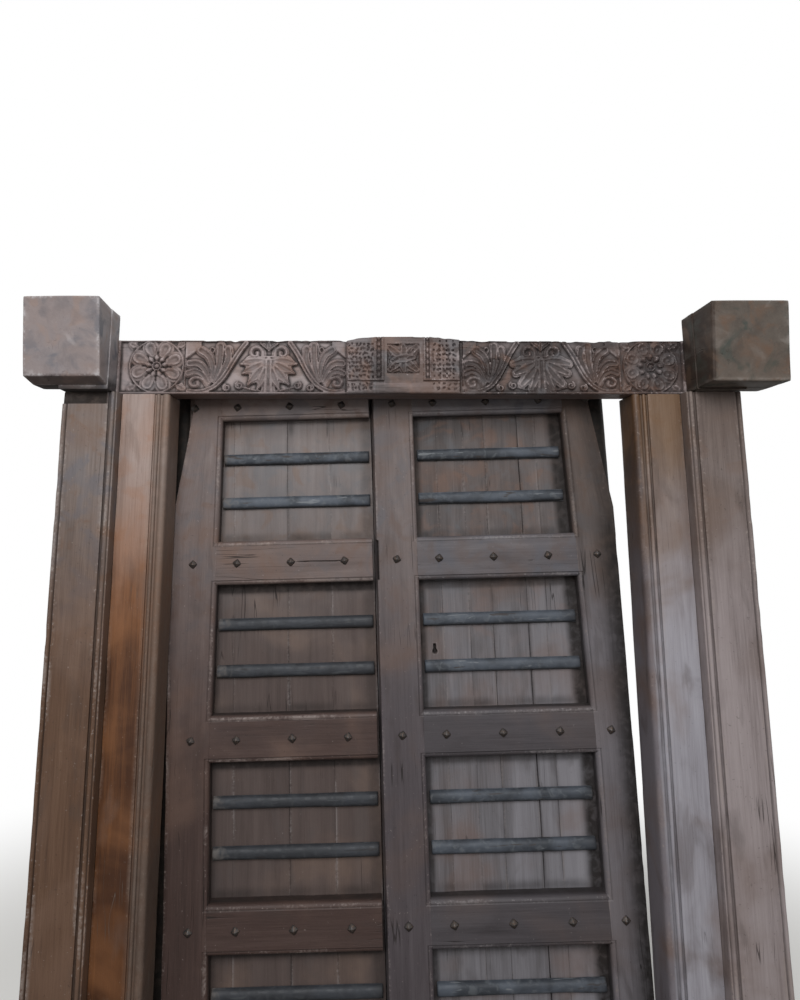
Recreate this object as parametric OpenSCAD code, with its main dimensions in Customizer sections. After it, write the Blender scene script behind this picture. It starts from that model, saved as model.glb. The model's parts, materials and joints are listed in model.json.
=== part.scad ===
// Carved double door in its timber frame. Both leaves hang on turned wooden pivots and open inward.
// X runs across the door, Y into the building and Z up, in millimetres.
// The origin is on the floor at mid-width, below the lintel's front face.

/* [Frame] */
// Clear width between the inner jambs
opening_w = 1250; // [1230:2:1270]
// Clear height from the threshold to the lintel
opening_h = 1900; // [1860:10:1940]
// Height of the threshold
threshold_h = 50; // [46:1:60]
// Width of each inner jamb
inner_jamb_w = 129; // [120:1:140]
// Width of each outer jamb
outer_jamb_w = 145; // [135:1:155]
// How far the outer jambs stand in front of the lintel
outer_jamb_proud = 37; // [30:1:45]
// Depth of the jambs behind the lintel's front
jamb_back = 100; // [95:1:100]
// Depth of the threshold in front of the lintel's front
threshold_front = 45; // [45:1:60]
// Depth of the threshold and pivot head behind the lintel's front
pivot_back = 222; // [218:1:240]

/* [Lintel and corner blocks] */
// Height of the lintel
lintel_h = 150; // [150:1:154]
// Depth of the lintel
lintel_d = 80; // [76:1:90]
// Depth of the carved ground below the lintel's face
carve_d = 10; // [7:1:11]
// How far the lintel's middle block stands in front of its face
centre_proud = 8; // [5:1:10]
// Width of each corner block
block_w = 197; // [188:1:202]
// Height of each corner block
block_h = 213; // [205:1:220]
// Depth of each corner block
block_d = 150; // [140:1:156]
// Depth of the collar at the back of each corner block
collar_d = 60; // [50:1:70]
// Drop of the collar below the block
collar_drop = 7; // [5:1:9]

/* [Leaves] */
// Lean of the leaf pair to the left
lean = 1.5; // [1.3:0.1:1.5]
// Thickness of the stiles and rails
rail_t = 45; // [42:1:48]
// Thickness of the planks
plank_t = 22; // [18:1:24]
// Gap between the jambs and the leaves
jamb_gap = 8; // [6:1:9]
// Width of the meeting stile
meeting_w = 120; // [110:1:124]
// Height of the top rails
top_rail_h = 79; // [74:1:84]
// Height of the mid rails
mid_rail_h = 118; // [112:1:124]
// Height of the bottom rails
bottom_rail_h = 116; // [110:1:124]
// Radius of the half-round bars
bar_r = 18; // [15:0.5:20]
// Radius of the stud heads
stud_r = 7.5; // [6:0.5:9]
// Radius of the turned pivot pins
pin_r = 15; // [13:0.5:16]
// How far the left pivot post laps behind its jamb, from its axis
post_lap = 68; // [60:1:74]

/* [Hidden] */
$fn = 48;
half_w = opening_w / 2;
lintel_z = threshold_h + opening_h;
block_x = half_w + inner_jamb_w + 17;
jamb_out = half_w + inner_jamb_w + outer_jamb_w;
lintel_half = jamb_out - 4;
tenon = [60, 28, 66];
foot_tenon_h = 30;

// Leaf coordinates: u across, v into the building, w up the leaning leaf from its foot
leaf_foot = threshold_h + 25;
leaf_h = opening_h + 10;
rail_v = jamb_back + jamb_gap;
plank_v = rail_v + rail_t;
post_r = 32;
post_flat = 24;
post_front = 30;
lap_v = [-14, 18];
axis_v = plank_v + post_front;
pair_shift = 19;
pair_half = half_w - 6;
axis_inset = 15;
meeting_u = -33;
swing_gap = 1.2;
rail_gap = 7;
panel_h = (leaf_h - top_rail_h - bottom_rail_h - 3 * mid_rail_h) / 4;
pitch_h = panel_h + mid_rail_h;
sight_w = 13;
sight_d = 15;
leaf_tenon = [28, 14];
stud_shank = [3, 25];
pin_play = 0.5;
socket_depth = 30;
head_z = lintel_z + 62;
head_h = 80;
head_half = half_w + 75;

// Each leaf: side, stile width, corner cut [across, down], plank joints from the left
LEAVES = [
    ["left", 130, [67, 380], [-430, -278, -156]],
    ["right", 114, [56, 350], [153, 227, 292, 390, 441]]
];
// Each corner block: side, and how far the height of its back foot, the depth and height of its front foot
// and front top, and the height of its back top differ from the plain block
BLOCKS = [["left", 3, [-37, 15], [-4, 7], 0], ["right", -3, [-10, -3], [11, -11], -12]];
RAILS = ["bottom_rail", "lower_mid_rail", "centre_mid_rail", "upper_mid_rail", "top_rail"];
BARS = [for (i = [1:8]) str("bar_", i)];
function plank_names(leaf) = [for (i = [0:len(leaf[3])]) str("plank_", i + 1)];
function leaf_nodes(leaf) = [
    for (n = concat(["pivot_post", "hinge_stile"], RAILS, plank_names(leaf), BARS, ["studs"]))
        str(leaf[0], "_", n)
];

// Places on a leaf
function is_left(leaf) = leaf[0] == "left";
function out(leaf) = is_left(leaf) ? -1 : 1;
function stile_outer(leaf) = pair_shift + out(leaf) * pair_half;
function stile_inner(leaf) = stile_outer(leaf) - out(leaf) * leaf[1];
function axis_u(leaf) = stile_outer(leaf) - out(leaf) * axis_inset;
function rail_ends(leaf) = is_left(leaf) ? [stile_inner(leaf), meeting_u - rail_gap]
                                         : [meeting_u + meeting_w, stile_inner(leaf)];
function rail_height(i) = i == 0 ? bottom_rail_h : i == 4 ? top_rail_h : mid_rail_h;
function rail_foot(i) = i == 0 ? 0 : bottom_rail_h + panel_h + (i - 1) * pitch_h;
function panel_foot(i) = bottom_rail_h + i * pitch_h;
function stud_w(i) = rail_foot(i) + (i == 4 ? 37 : rail_height(i) / 2);
function stud_us(leaf) = let (e = rail_ends(leaf))
    concat([for (k = [0:2]) e[0] + (e[1] - e[0]) * (0.13 + 0.345 * k)],
           [(stile_inner(leaf) + stile_outer(leaf)) / 2],
           is_left(leaf) ? [] : [meeting_u + meeting_w / 2]);
function plank_edges(leaf) = is_left(leaf)
    ? concat([axis_u(leaf) + post_flat], leaf[3], [meeting_u - swing_gap])
    : concat([meeting_u], leaf[3], [axis_u(leaf) - post_flat]);
// Height on the leaf of a level z, measured along a pivot axis
function level_w(z, u) = (z - leaf_foot - u * sin(lean)) / cos(lean);

// Curves
function arc(c, r, a0, a1, n) = spiral(c, r, r, a0, a1, n);
function bend(a, b, c, n) = [
    for (i = [0:n]) let (t = i / n) (1 - t) * (1 - t) * a + 2 * t * (1 - t) * b + t * t * c
];
function spiral(c, r0, r1, a0, a1, n) = [
    for (i = [0:n]) let (t = i / n, a = a0 + (a1 - a0) * t) c + (r0 + (r1 - r0) * t) * [cos(a), sin(a)]
];
function heading(p, i) = let (d = p[min(i + 1, len(p) - 1)] - p[max(i - 1, 0)]) d / norm(d);
function lobe_swell(t) = t < 0.66 ? 0.38 + 0.62 * sin(90 * t / 0.66) : pow(cos(90 * (t - 0.66) / 0.345), 0.6);

module both_sides(side) {
    mirror([side == "left" ? 1 : 0, 0, 0]) children();
}

module on_leaf() {
    translate([0, 0, leaf_foot]) rotate([0, -lean, 0]) children();
}

// A slab whose outline is drawn in u and w, from depth v and t thick
module slab(v, t) {
    translate([0, v + t, 0]) rotate([90, 0, 0]) linear_extrude(t) children();
}

// A box between two corners
module span(a, b) {
    translate(a) cube(b - a);
}

// The ovolo moulding round one panel, as the wood that it takes away
module sight_cut(leaf, i) {
    e = rail_ends(leaf);
    u1 = is_left(leaf) ? e[1] + 4 * sight_w : e[1];
    intersection() {
        translate([0, 0, panel_foot(i) - 2 * sight_w])
            linear_extrude(panel_h + 4 * sight_w) polygon(sight_outline(e[0], u1));
        rotate([90, 0, 90]) translate([0, 0, e[0] - 2 * sight_w]) linear_extrude(u1 - e[0] + 4 * sight_w)
            polygon([for (p = sight_outline(panel_foot(i), panel_foot(i) + panel_h)) [p[1], p[0]]]);
    }
}
function sight_outline(a, b) = let (
    lip = 3,
    side = [for (k = [0:5]) [sight_w * (1 - sin(18 * k)), rail_v + sight_d - (sight_d - lip) * cos(18 * k)]]
) concat([[a - sight_w, rail_v - 1]], [for (p = side) [a - p[0], p[1]]],
         [for (k = [5:-1:0]) [b + side[k][0], side[k][1]]], [[b + sight_w, rail_v - 1]]);

module stud_bores(us, ws) {
    for (u = us, w = ws) translate([u, rail_v - 1, w]) rotate([-90, 0, 0])
        cylinder(r = stud_shank[0] + 0.1, h = stud_shank[1] + 1.5);
}

// Frame

module threshold() {
    color("#6b5748") difference() {
        span([-jamb_out - 6, -threshold_front, 0], [jamb_out + 6, pivot_back, threshold_h]);
        for (s = ["left", "right"]) both_sides(s) for (x = jamb_tenon_x)
            translate([x - tenon[0] / 2, jamb_tenon_y, threshold_h - foot_tenon_h - 1])
                cube([tenon[0], tenon[1], foot_tenon_h + 2]);
        on_leaf() for (leaf = LEAVES) translate([axis_u(leaf), axis_v, foot_pin(leaf) - pin_play])
            cylinder(r = pin_r + pin_play, h = socket_depth + 12);
    }
}
jamb_tenon_y = 30;
jamb_tenon_x = [half_w + inner_jamb_w / 2, half_w + inner_jamb_w + outer_jamb_w / 2];
function foot_pin(leaf) = level_w(threshold_h, axis_u(leaf)) - socket_depth;

// A jamb from its plan outline, with a tenon into the threshold and one into the lintel
module jamb(outline, x) {
    translate([0, 0, threshold_h]) linear_extrude(opening_h) polygon(outline);
    translate([x - tenon[0] / 2, jamb_tenon_y, threshold_h - foot_tenon_h])
        cube([tenon[0], tenon[1], opening_h + foot_tenon_h + tenon[2] - 1]);
}

module inner_jamb(side) {
    bead = 11;
    reed = 5;
    quirk = 8;
    face = 2 * bead + 2 * reed + 8;
    edge = concat(
        arc([bead, bead], bead, 180, 345, 8),
        [[2 * bead + 1, quirk], [2 * bead + 4, quirk]],
        arc([2 * bead + 4 + reed, reed], reed, 180, 345, 6),
        [[face - 3, quirk - 2], [face, quirk - 2], [face, 0]]
    );
    outline = concat([[0, jamb_back]], edge, [[inner_jamb_w, 0], [inner_jamb_w, jamb_back]]);
    color("#8a6a4c") both_sides(side) jamb([for (p = outline) p + [half_w, 0]], jamb_tenon_x[0]);
}

module outer_jamb(side) {
    fillet = 5;
    bead = 6;
    quirk = 7;
    f = -outer_jamb_proud;
    w = outer_jamb_w;
    outline = concat(
        [[0, jamb_back], [0, f + 4], [fillet, f + 4], [fillet, f + bead]],
        arc([fillet + 1 + bead, f + bead], bead, 180, 345, 6),
        [[fillet + 2 * bead + 2, f + quirk], [fillet + 2 * bead + 5, f + quirk], [fillet + 2 * bead + 5, f]],
        [[w - 2 * bead - 4, f], [w - 2 * bead - 4, f + quirk], [w - 2 * bead - 1, f + quirk]],
        arc([w - bead, f + bead], bead, 195, 360, 6),
        [[w, jamb_back]]
    );
    notch = [fillet + 2 * bead + 7, 29, 33];
    color("#77604f") both_sides(side) difference() {
        jamb([for (p = outline) p + [half_w + inner_jamb_w, 0]], jamb_tenon_x[1]);
        if (side == "left") translate([half_w + inner_jamb_w + notch[0], f - 1, lintel_z - notch[2]])
            cube([w, notch[1] + 1, notch[2] + 1]);
    }
}

// A hewn block whose side profile leans, on a squared collar that rests on the jambs
module corner_block(side) {
    b = BLOCKS[side == "left" ? 0 : 1];
    arris = 4;
    foot = lintel_z + collar_drop;
    top = foot + block_h;
    front_foot = [-block_d - b[2][0], foot + b[2][1]];
    front_top = [-block_d - b[3][0], top + b[3][1]];
    back_foot = [-collar_d, foot + b[1]];
    back_top = [-collar_d, top + b[4]];
    inner = block_x - 2.5;
    outer = block_x + block_w;
    color("#857a72") both_sides(side) {
        translate([block_x, 0, 0]) rotate([90, 0, 90]) linear_extrude(block_w) polygon(concat(
            [back_top, back_foot], eased(back_foot, front_foot, front_top, arris),
            eased(front_foot, front_top, back_top, arris)
        ));
        slab(-collar_d, collar_d) polygon([
            [inner, lintel_z], [jamb_out, lintel_z], [jamb_out, back_foot[1]], [outer, back_foot[1]],
            [outer, back_top[1]], [inner, back_top[1]]
        ]);
        translate(block_tenon_at) cube(block_tenon);
    }
}
block_tenon = [70, 28, 60];
block_tenon_at = [block_x + 27, -1, lintel_z + 50];
// The two points that cut off a corner q between p and r
function eased(p, q, r, e) = [q + e * (p - q) / norm(p - q), q + e * (r - q) / norm(r - q)];

module pivot_head() {
    color("#6b5748") difference() {
        span([-head_half, lintel_d, head_z], [head_half, pivot_back, head_z + head_h]);
        on_leaf() for (leaf = LEAVES) translate([axis_u(leaf), axis_v, level_w(head_z, axis_u(leaf)) - 12])
            cylinder(r = pin_r + pin_play, h = 72);
    }
}

// Carving, drawn in x and height above the lintel's foot, raised from the ground

// A rounded ridge along a path, with half widths and heights for each of its points
module ridge(path, widths, heights) {
    n = len(path);
    section = [[-1, -0.5], [-0.72, 0.7], [0, 1], [0.72, 0.7], [1, -0.5]];
    points = [
        for (i = [0:n - 1]) let (d = heading(path, i)) for (s = section)
            [path[i][0] - d[1] * s[0] * widths[i], path[i][1] + d[0] * s[0] * widths[i],
             s[1] > 0 ? s[1] * heights[i] : -1]
    ];
    skin = [
        for (i = [0:n - 2]) for (j = [0:4]) let (k = (j + 1) % 5, a = 5 * i)
            for (t = [[a + j, a + k, a + 5 + k], [a + j, a + 5 + k, a + 5 + j]]) t
    ];
    polyhedron(points, concat(skin, [[4, 3, 2, 1, 0]], [[for (j = [0:4]) 5 * (n - 1) + j]]));
}

module lobe(a, b, c, w, n = 5) {
    ridge(bend(a, b, c, n), [for (i = [0:n]) max(1, w * lobe_swell(i / n))],
          [for (i = [0:n]) carve_d * (0.45 + 0.5 * sin(180 * min(1, 0.15 + 0.75 * i / n)))]);
}

module stem(path, w0, w1) {
    n = len(path) - 1;
    ridge(path, [for (i = [0:n]) w0 + (w1 - w0) * i / n], [for (i = [0:n]) carve_d * 0.92]);
}

module rosette() {
    r = 66;
    ring_d = 0.8 * carve_d;
    rotate_extrude($fn = 28) translate([r, 0]) polygon([[-5, -1], [-3.5, ring_d], [3.5, ring_d], [5, -1]]);
    for (k = [0:7]) rotate(45 * k) hull() {
        translate([31, 0, -1]) cylinder(r = 5, h = 0.45 * carve_d + 1, $fn = 8);
        translate([48, 0, -1]) cylinder(r1 = 15, r2 = 9, h = 0.85 * carve_d + 1, $fn = 12);
    }
    for (k = [0:7]) rotate(45 * k + 22.5) hull() {
        translate([13, 0, -1]) cylinder(r = 2.5, h = carve_d, $fn = 6);
        translate([24, 0, -1]) cylinder(r1 = 7, r2 = 3, h = 0.95 * carve_d + 1, $fn = 8);
    }
    translate([0, 0, -1]) cylinder(r1 = 10, r2 = 6, h = carve_d + 1, $fn = 12);
}

// Five fluted lobes fanning up beside a thick stem, w wide, with a scroll at the lower left
module half_palmette(w) {
    root = [0.56 * w, 22];
    for (k = [0:4]) let (a = 158 - 25 * k, r = [74, 88, 100, 106, 98][k])
        lobe(root + 14 * [cos(a), sin(a)], root + 0.6 * r * [cos(a - 9), sin(a - 9)],
             root + [min(r, 0.53 * w / max(0.1, abs(cos(a)))) * cos(a), r * sin(a)], 11);
    stem(bend([0.42 * w, 12], [0.86 * w, 18], [0.9 * w, 138], 8), 6, 8);
    stem(spiral([0.2 * w, 30], 20, 6, -60, -420, 9), 5, 3);
}

// Lobes spread downward from a collar below two volutes
module palmette() {
    collar = [0, 100];
    for (k = [0:6]) let (a = -166 + 25.33 * k, r = 66 + 26 * sin(180 * k / 6))
        lobe(collar + 14 * [cos(a), sin(a)], collar + 0.6 * r * [cos(a), sin(a) + 0.12],
             collar + r * [cos(a), sin(a)], 11.5);
    for (s = [-1, 1]) {
        stem([for (p = spiral([0, 0], 22, 6, 215, -170, 11)) [s * (30 + p[0]), 122 + p[1]]], 5, 4);
        stem([for (p = spiral([0, 0], 17, 5, 90, -250, 8)) [s * (64 + p[0]), 24 + p[1]]], 4.5, 3);
    }
    translate([-13, 94, -1]) cube([26, 9, carve_d + 1]);
}

// The raised middle block: chip-carved fields, bead strips and a four-lobed leaf in a sunk square
module centre_block() {
    half = 156;
    top = 8;
    face = carve_d + centre_proud;
    strip = [66, 14, 40];
    square = [88, 80, 57];
    sunk = 8;
    chip = [15.5, 16, 3.2];
    difference() {
        translate([-half, 0, -1]) cube([2 * half, lintel_h + top, face + 1]);
        for (s = [-1, 1]) {
            for (i = [0:4]) for (j = [0:6]) translate([s * (85 + chip[0] * i), 48 + 15 * j, face - chip[2]])
                rotate(45) cylinder(r1 = 0, r2 = 8.6, h = chip[2] + 0.1, $fn = 4);
            for (i = [0:4]) translate([s * (85 + chip[0] * i), chip[1], face - chip[2]])
                rotate(45) cylinder(r1 = 0, r2 = 8.6, h = chip[2] + 0.1, $fn = 4);
            translate([s * strip[0] - strip[1] / 2, strip[2], face - 6])
                cube([strip[1], lintel_h - strip[2] - 4, 7]);
        }
        translate([-square[0] / 2, square[2], face - sunk]) cube([square[0], square[1], sunk + 1]);
        for (z = [28, 34]) translate([-half - 1, z, face - 2]) cube([2 * half + 2, 2.5, 3]);
    }
    for (s = [-1, 1]) for (j = [0:5]) translate([s * strip[0], strip[2] + 9 + 17 * j, face - 7])
        cylinder(r1 = 6.6, r2 = 4, h = 6, $fn = 8);
    translate([0, square[2] + square[1] / 2, face - sunk - 0.2]) {
        for (k = [0:3]) rotate(45 + 90 * k) lobe([6, 0], [28, 10], [44, 0], 12, 4);
        translate([0, 0, -1]) cylinder(r1 = 9, r2 = 5, h = sunk, $fn = 10);
    }
}

module carved_lintel() {
    border = 6;
    field = block_x - 4;
    block_shift = 6;
    motifs = [[-667, 0, 0], [-591, 142, 0], [-362, 0, 1], [-150, 125, 2], [163, 140, 0],
              [390, 0, 1], [610, 124, 2], [681, 0, 0]];
    color("#75675f") difference() {
        union() {
            span([-lintel_half, carve_d, lintel_z], [lintel_half, lintel_d, lintel_z + lintel_h]);
            translate([0, carve_d, lintel_z]) rotate([90, 0, 0]) {
                difference() {
                    translate([-lintel_half, 0, -1]) cube([2 * lintel_half, lintel_h, carve_d + 1]);
                    translate([-field, border, 0]) cube([2 * field, lintel_h - 2 * border, 2 * carve_d]);
                }
                for (m = motifs) translate([m[0], 0, 0]) {
                    if (m[1] == 0 && m[2] == 0) translate([0, lintel_h / 2, 0]) rosette();
                    if (m[2] == 1) palmette();
                    if (m[1] > 0) mirror([m[2] == 2 ? 1 : 0, 0, 0]) half_palmette(m[1]);
                }
                translate([block_shift, 0, 0]) centre_block();
            }
        }
        for (s = ["left", "right"]) both_sides(s) {
            for (x = jamb_tenon_x) translate([x - tenon[0] / 2, jamb_tenon_y, lintel_z - 1])
                cube([tenon[0], tenon[1], tenon[2] + 1]);
            translate(block_tenon_at) cube(block_tenon + [0, 1, 0]);
        }
    }
}

// Leaves

module pivot_post(leaf) {
    pin_foot = foot_pin(leaf);
    foot = level_w(threshold_h, axis_u(leaf)) + 10;
    top = leaf_h + 2;
    pin_top = level_w(head_z, axis_u(leaf)) + 54;
    shoulder = 20;
    wide = post_r + 1;
    tall = leaf_h + 100;
    color("#5d4c40") on_leaf() translate([axis_u(leaf), axis_v, 0]) union() {
        difference() {
            rotate_extrude() polygon([
                [0, pin_foot], [pin_r - 2, pin_foot], [pin_r, pin_foot + 2], [pin_r, foot],
                [post_r, foot], [post_r, top - shoulder], [post_r - 4, top - 8], [post_r - 11, top],
                [pin_r, top], [pin_r, pin_top - 2], [pin_r - 2, pin_top], [0, pin_top]
            ]);
            translate([-wide, -wide, foot - 1]) cube([2 * wide, wide - post_front, tall]);
            translate([is_left(leaf) ? post_flat : -wide, -wide, foot - 1])
                cube([wide - post_flat, 2 * wide, tall]);
        }
        if (is_left(leaf)) span([-post_lap, lap_v[0], foot], [-pin_r, lap_v[1], leaf_h]);
    }
}

module hinge_stile(leaf) {
    a = stile_outer(leaf);
    b = stile_inner(leaf);
    cut = leaf[2];
    color("#7d6f68") on_leaf() difference() {
        slab(rail_v, rail_t) polygon([
            [b, 0], [a, 0], [a, leaf_h - cut[1]], [a - out(leaf) * cut[0], leaf_h], [b, leaf_h]
        ]);
        for (i = [0:3]) sight_cut(leaf, i);
        for (i = [0:4]) rail_tenon(leaf, i, b, out(leaf), 1);
        stud_bores([stud_us(leaf)[3]], [for (i = [0:4]) stud_w(i)]);
    }
}

module meeting_stile() {
    leaf = LEAVES[1];
    edge = meeting_u + meeting_w;
    bevel = 5.5;
    notch = 10;
    color("#7d6f68") on_leaf() difference() {
        linear_extrude(leaf_h) polygon([
            [meeting_u + bevel, rail_v], [edge, rail_v], [edge, rail_v + rail_t], [meeting_u, rail_v + rail_t]
        ]);
        span([meeting_u - 1, rail_v - 1, rail_foot(3) + 4],
             [meeting_u + notch, rail_v + rail_t - 12, rail_foot(3) + mid_rail_h - 6]);
        for (i = [0:3]) sight_cut(leaf, i);
        for (i = [0:4]) rail_tenon(leaf, i, edge, -1, 1);
        stud_bores([stud_us(leaf)[4]], [for (i = [0:4]) stud_w(i)]);
    }
}

// A rail's tenon into the stile edge at u, dir pointing into the stile, with more depth for its mortise
module rail_tenon(leaf, i, u, dir, deeper) {
    shoulder = 18;
    long = leaf_tenon[0] + deeper;
    span([min(u, u + dir * long), rail_v + 18, rail_foot(i) + shoulder],
         [max(u, u + dir * long), rail_v + 18 + leaf_tenon[1], rail_foot(i) + rail_height(i) - shoulder]);
}

module leaf_rail(leaf, i) {
    e = rail_ends(leaf);
    color("#7d6f68") on_leaf() difference() {
        union() {
            span([e[0], rail_v, rail_foot(i)], [e[1], rail_v + rail_t, rail_foot(i) + rail_height(i)]);
            rail_tenon(leaf, i, stile_inner(leaf), out(leaf), 0);
            if (!is_left(leaf)) rail_tenon(leaf, i, meeting_u + meeting_w, -1, 0);
        }
        for (k = [max(0, i - 1):min(3, i)]) sight_cut(leaf, k);
        stud_bores([for (k = [0:2]) stud_us(leaf)[k]], [stud_w(i)]);
    }
}

module plank(leaf, k) {
    joint = 1.2;
    e = plank_edges(leaf);
    last = len(e) - 2;
    keyhole = [126, 1177];
    color("#82766f") on_leaf() difference() {
        span([e[k] + (k > 0 ? joint / 2 : 0), plank_v, 4],
             [e[k + 1] - (k < last ? joint / 2 : 0), plank_v + plank_t, leaf_h - 4]);
        if (!is_left(leaf) && k == 0) translate([keyhole[0], plank_v - 1, keyhole[1]]) rotate([-90, 0, 0]) {
            cylinder(r = 6, h = plank_t + 2);
            translate([-3, 0, 0]) cube([6, 20, plank_t + 2]);
        }
    }
}

module bar(leaf, k) {
    e = rail_ends(leaf);
    short = is_left(leaf) ? [3, 2] : [9, 9];
    long = e[1] - e[0] - short[0] - short[1];
    w = panel_foot(floor(k / 2)) + panel_h - (k % 2 == 0 ? 234 : 110);
    color("#4a5058") on_leaf() intersection() {
        translate([e[0] + short[0], plank_v, w]) rotate([0, 90, 0]) cylinder(r = bar_r, h = long);
        span([e[0], plank_v - bar_r - 1, w - bar_r - 1], [e[1], plank_v, w + bar_r + 1]);
    }
}

module studs(leaf) {
    r = stud_r;
    color("#3b3633") on_leaf() for (u = stud_us(leaf), i = [0:4])
        translate([u, rail_v, stud_w(i)]) rotate([90, 0, 0]) rotate_extrude() polygon([
            [0, -stud_shank[1]], [stud_shank[0], -stud_shank[1]], [stud_shank[0], 0], [r, 0],
            [0.86 * r, 0.34 * r], [0.5 * r, 0.62 * r], [0.15 * r, 0.74 * r], [0, 0.74 * r]
        ]);
}

threshold();
carved_lintel();
pivot_head();
meeting_stile();  // right_meeting_stile
for (side = ["left", "right"]) {
    outer_jamb(side);
    inner_jamb(side);
    corner_block(side);
}
for (leaf = LEAVES) {
    pivot_post(leaf);
    hinge_stile(leaf);
    studs(leaf);
    for (i = [0:4])
        leaf_rail(leaf, i);
    for (k = [0:len(leaf[3])])
        plank(leaf, k);
    for (k = [0:7])
        bar(leaf, k);
}
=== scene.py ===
import json

import bpy
import numpy as np
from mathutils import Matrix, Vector


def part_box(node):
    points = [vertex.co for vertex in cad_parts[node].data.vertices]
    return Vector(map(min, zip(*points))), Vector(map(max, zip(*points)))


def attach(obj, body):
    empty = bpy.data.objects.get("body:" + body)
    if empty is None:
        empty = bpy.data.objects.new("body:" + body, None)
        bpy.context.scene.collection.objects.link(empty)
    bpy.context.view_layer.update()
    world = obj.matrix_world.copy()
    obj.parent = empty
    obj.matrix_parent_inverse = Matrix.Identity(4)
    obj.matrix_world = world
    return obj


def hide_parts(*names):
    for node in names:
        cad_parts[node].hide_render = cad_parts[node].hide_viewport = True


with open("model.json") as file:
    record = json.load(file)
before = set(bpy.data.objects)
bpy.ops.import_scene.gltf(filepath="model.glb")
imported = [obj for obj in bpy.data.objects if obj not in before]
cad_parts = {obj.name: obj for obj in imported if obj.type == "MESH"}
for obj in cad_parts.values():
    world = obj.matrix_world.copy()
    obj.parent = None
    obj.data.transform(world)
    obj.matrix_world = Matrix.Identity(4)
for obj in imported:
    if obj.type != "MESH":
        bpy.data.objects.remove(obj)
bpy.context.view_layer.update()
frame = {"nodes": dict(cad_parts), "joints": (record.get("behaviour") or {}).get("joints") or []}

# The setting: a pale floor under the door, one broad soft lamp in front and to the left, and a white
# surround. The camera stands a little left of the middle, close to the door, and looks slightly up.
scene = bpy.context.scene
scene.view_settings.view_transform = "Standard"


class Wire:
    """One socket of a shader. Sums, differences and products of wires and numbers are Math nodes.
    Every other node comes from node(), which takes its settings first and then its sockets."""

    def __init__(self, tree, socket=None):
        self.tree, self.socket = tree, socket

    def node(self, kind, settings, values, out=0):
        made = self.tree.nodes.new("ShaderNode" + kind)
        for key, value in settings.items():
            if key == "stops":
                ramp = made.color_ramp.elements
                for place, _ in value[2:]:
                    ramp.new(place)
                for stop, (place, colour) in zip(ramp, value):
                    stop.position, stop.color = place, colour
            else:
                setattr(made, key, value)
        for key, value in values.items():
            if isinstance(value, Wire):
                self.tree.links.new(value.socket, made.inputs[key])
            else:
                made.inputs[key].default_value = value
        return Wire(self.tree, made.outputs[out] if made.outputs else None)

    def maths(self, operation, first, second):
        return self.node("Math", {"operation": operation}, {0: first, 1: second})

    def __add__(self, other):
        return self.maths("ADD", self, other)

    def __sub__(self, other):
        return self.maths("SUBTRACT", self, other)

    def __rsub__(self, other):
        return self.maths("SUBTRACT", other, self)

    def __mul__(self, other):
        return self.maths("MULTIPLY", self, other)

    __radd__, __rmul__ = __add__, __mul__


def rise(value, low, high):
    """A mask that climbs smoothly from 0, where the value is low, to 1, where it is high."""
    return value.node("MapRange", {"interpolation_type": "SMOOTHSTEP"},
                      {"Value": value, "From Min": low, "From Max": high})


def over(mask, below, above):
    """The colour below where the mask is 0, and the colour above where it is 1."""
    return mask.node("Mix", {"data_type": "RGBA"}, {0: mask, 6: below, 7: above}, 2)


def empty_tree(owner):
    """The shader of a material or of the world, with no nodes in it yet."""
    owner.use_nodes = True
    owner.node_tree.nodes.clear()
    return Wire(owner.node_tree)


def tone(red, green, blue):
    """A colour as it looks on a screen, each part from 0 to 255, as linear light."""
    part = np.array([red, green, blue]) / 255
    return (*np.where(part < 0.04045, part / 12.92, ((part + 0.055) / 1.055) ** 2.4), 1)


def link(name, data):
    """An object at the origin that shows this data."""
    made = bpy.data.objects.new(name, data)
    scene.collection.objects.link(made)
    return made


camera = link("camera", bpy.data.cameras.new("camera"))
camera.location = (-0.090, -1.750, 1.600)
camera.rotation_euler = (np.radians(98.955), 0, 0)
camera.data.lens, camera.data.sensor_width = 23.76, 36
camera.data.shift_x, camera.data.shift_y = 0.032, -0.079
scene.camera = camera

lamp = link("soft_lamp", bpy.data.lights.new("soft_lamp", "AREA"))
lamp.data.size, lamp.data.energy = 2.0, 125
lamp.location = (-0.4, -3.4, 3.3)
lamp.rotation_euler = (Vector((0, 0, 1.75)) - lamp.location).to_track_quat("-Z", "Y").to_euler()

FILL_LIGHT, WHITE = 0.5, (1, 1, 1, 1)
scene.world = bpy.data.worlds.new("surround")
sky = empty_tree(scene.world)
seen = sum(sky.node("LightPath", {}, {}, f"Is {ray} Ray") for ray in ("Camera", "Glossy", "Transmission"))
strength = FILL_LIGHT + (1 - FILL_LIGHT) * seen.maths("MINIMUM", seen, 1)
sky.node("OutputWorld", {}, {"Surface": sky.node("Background", {}, {"Color": WHITE, "Strength": strength})})

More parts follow.
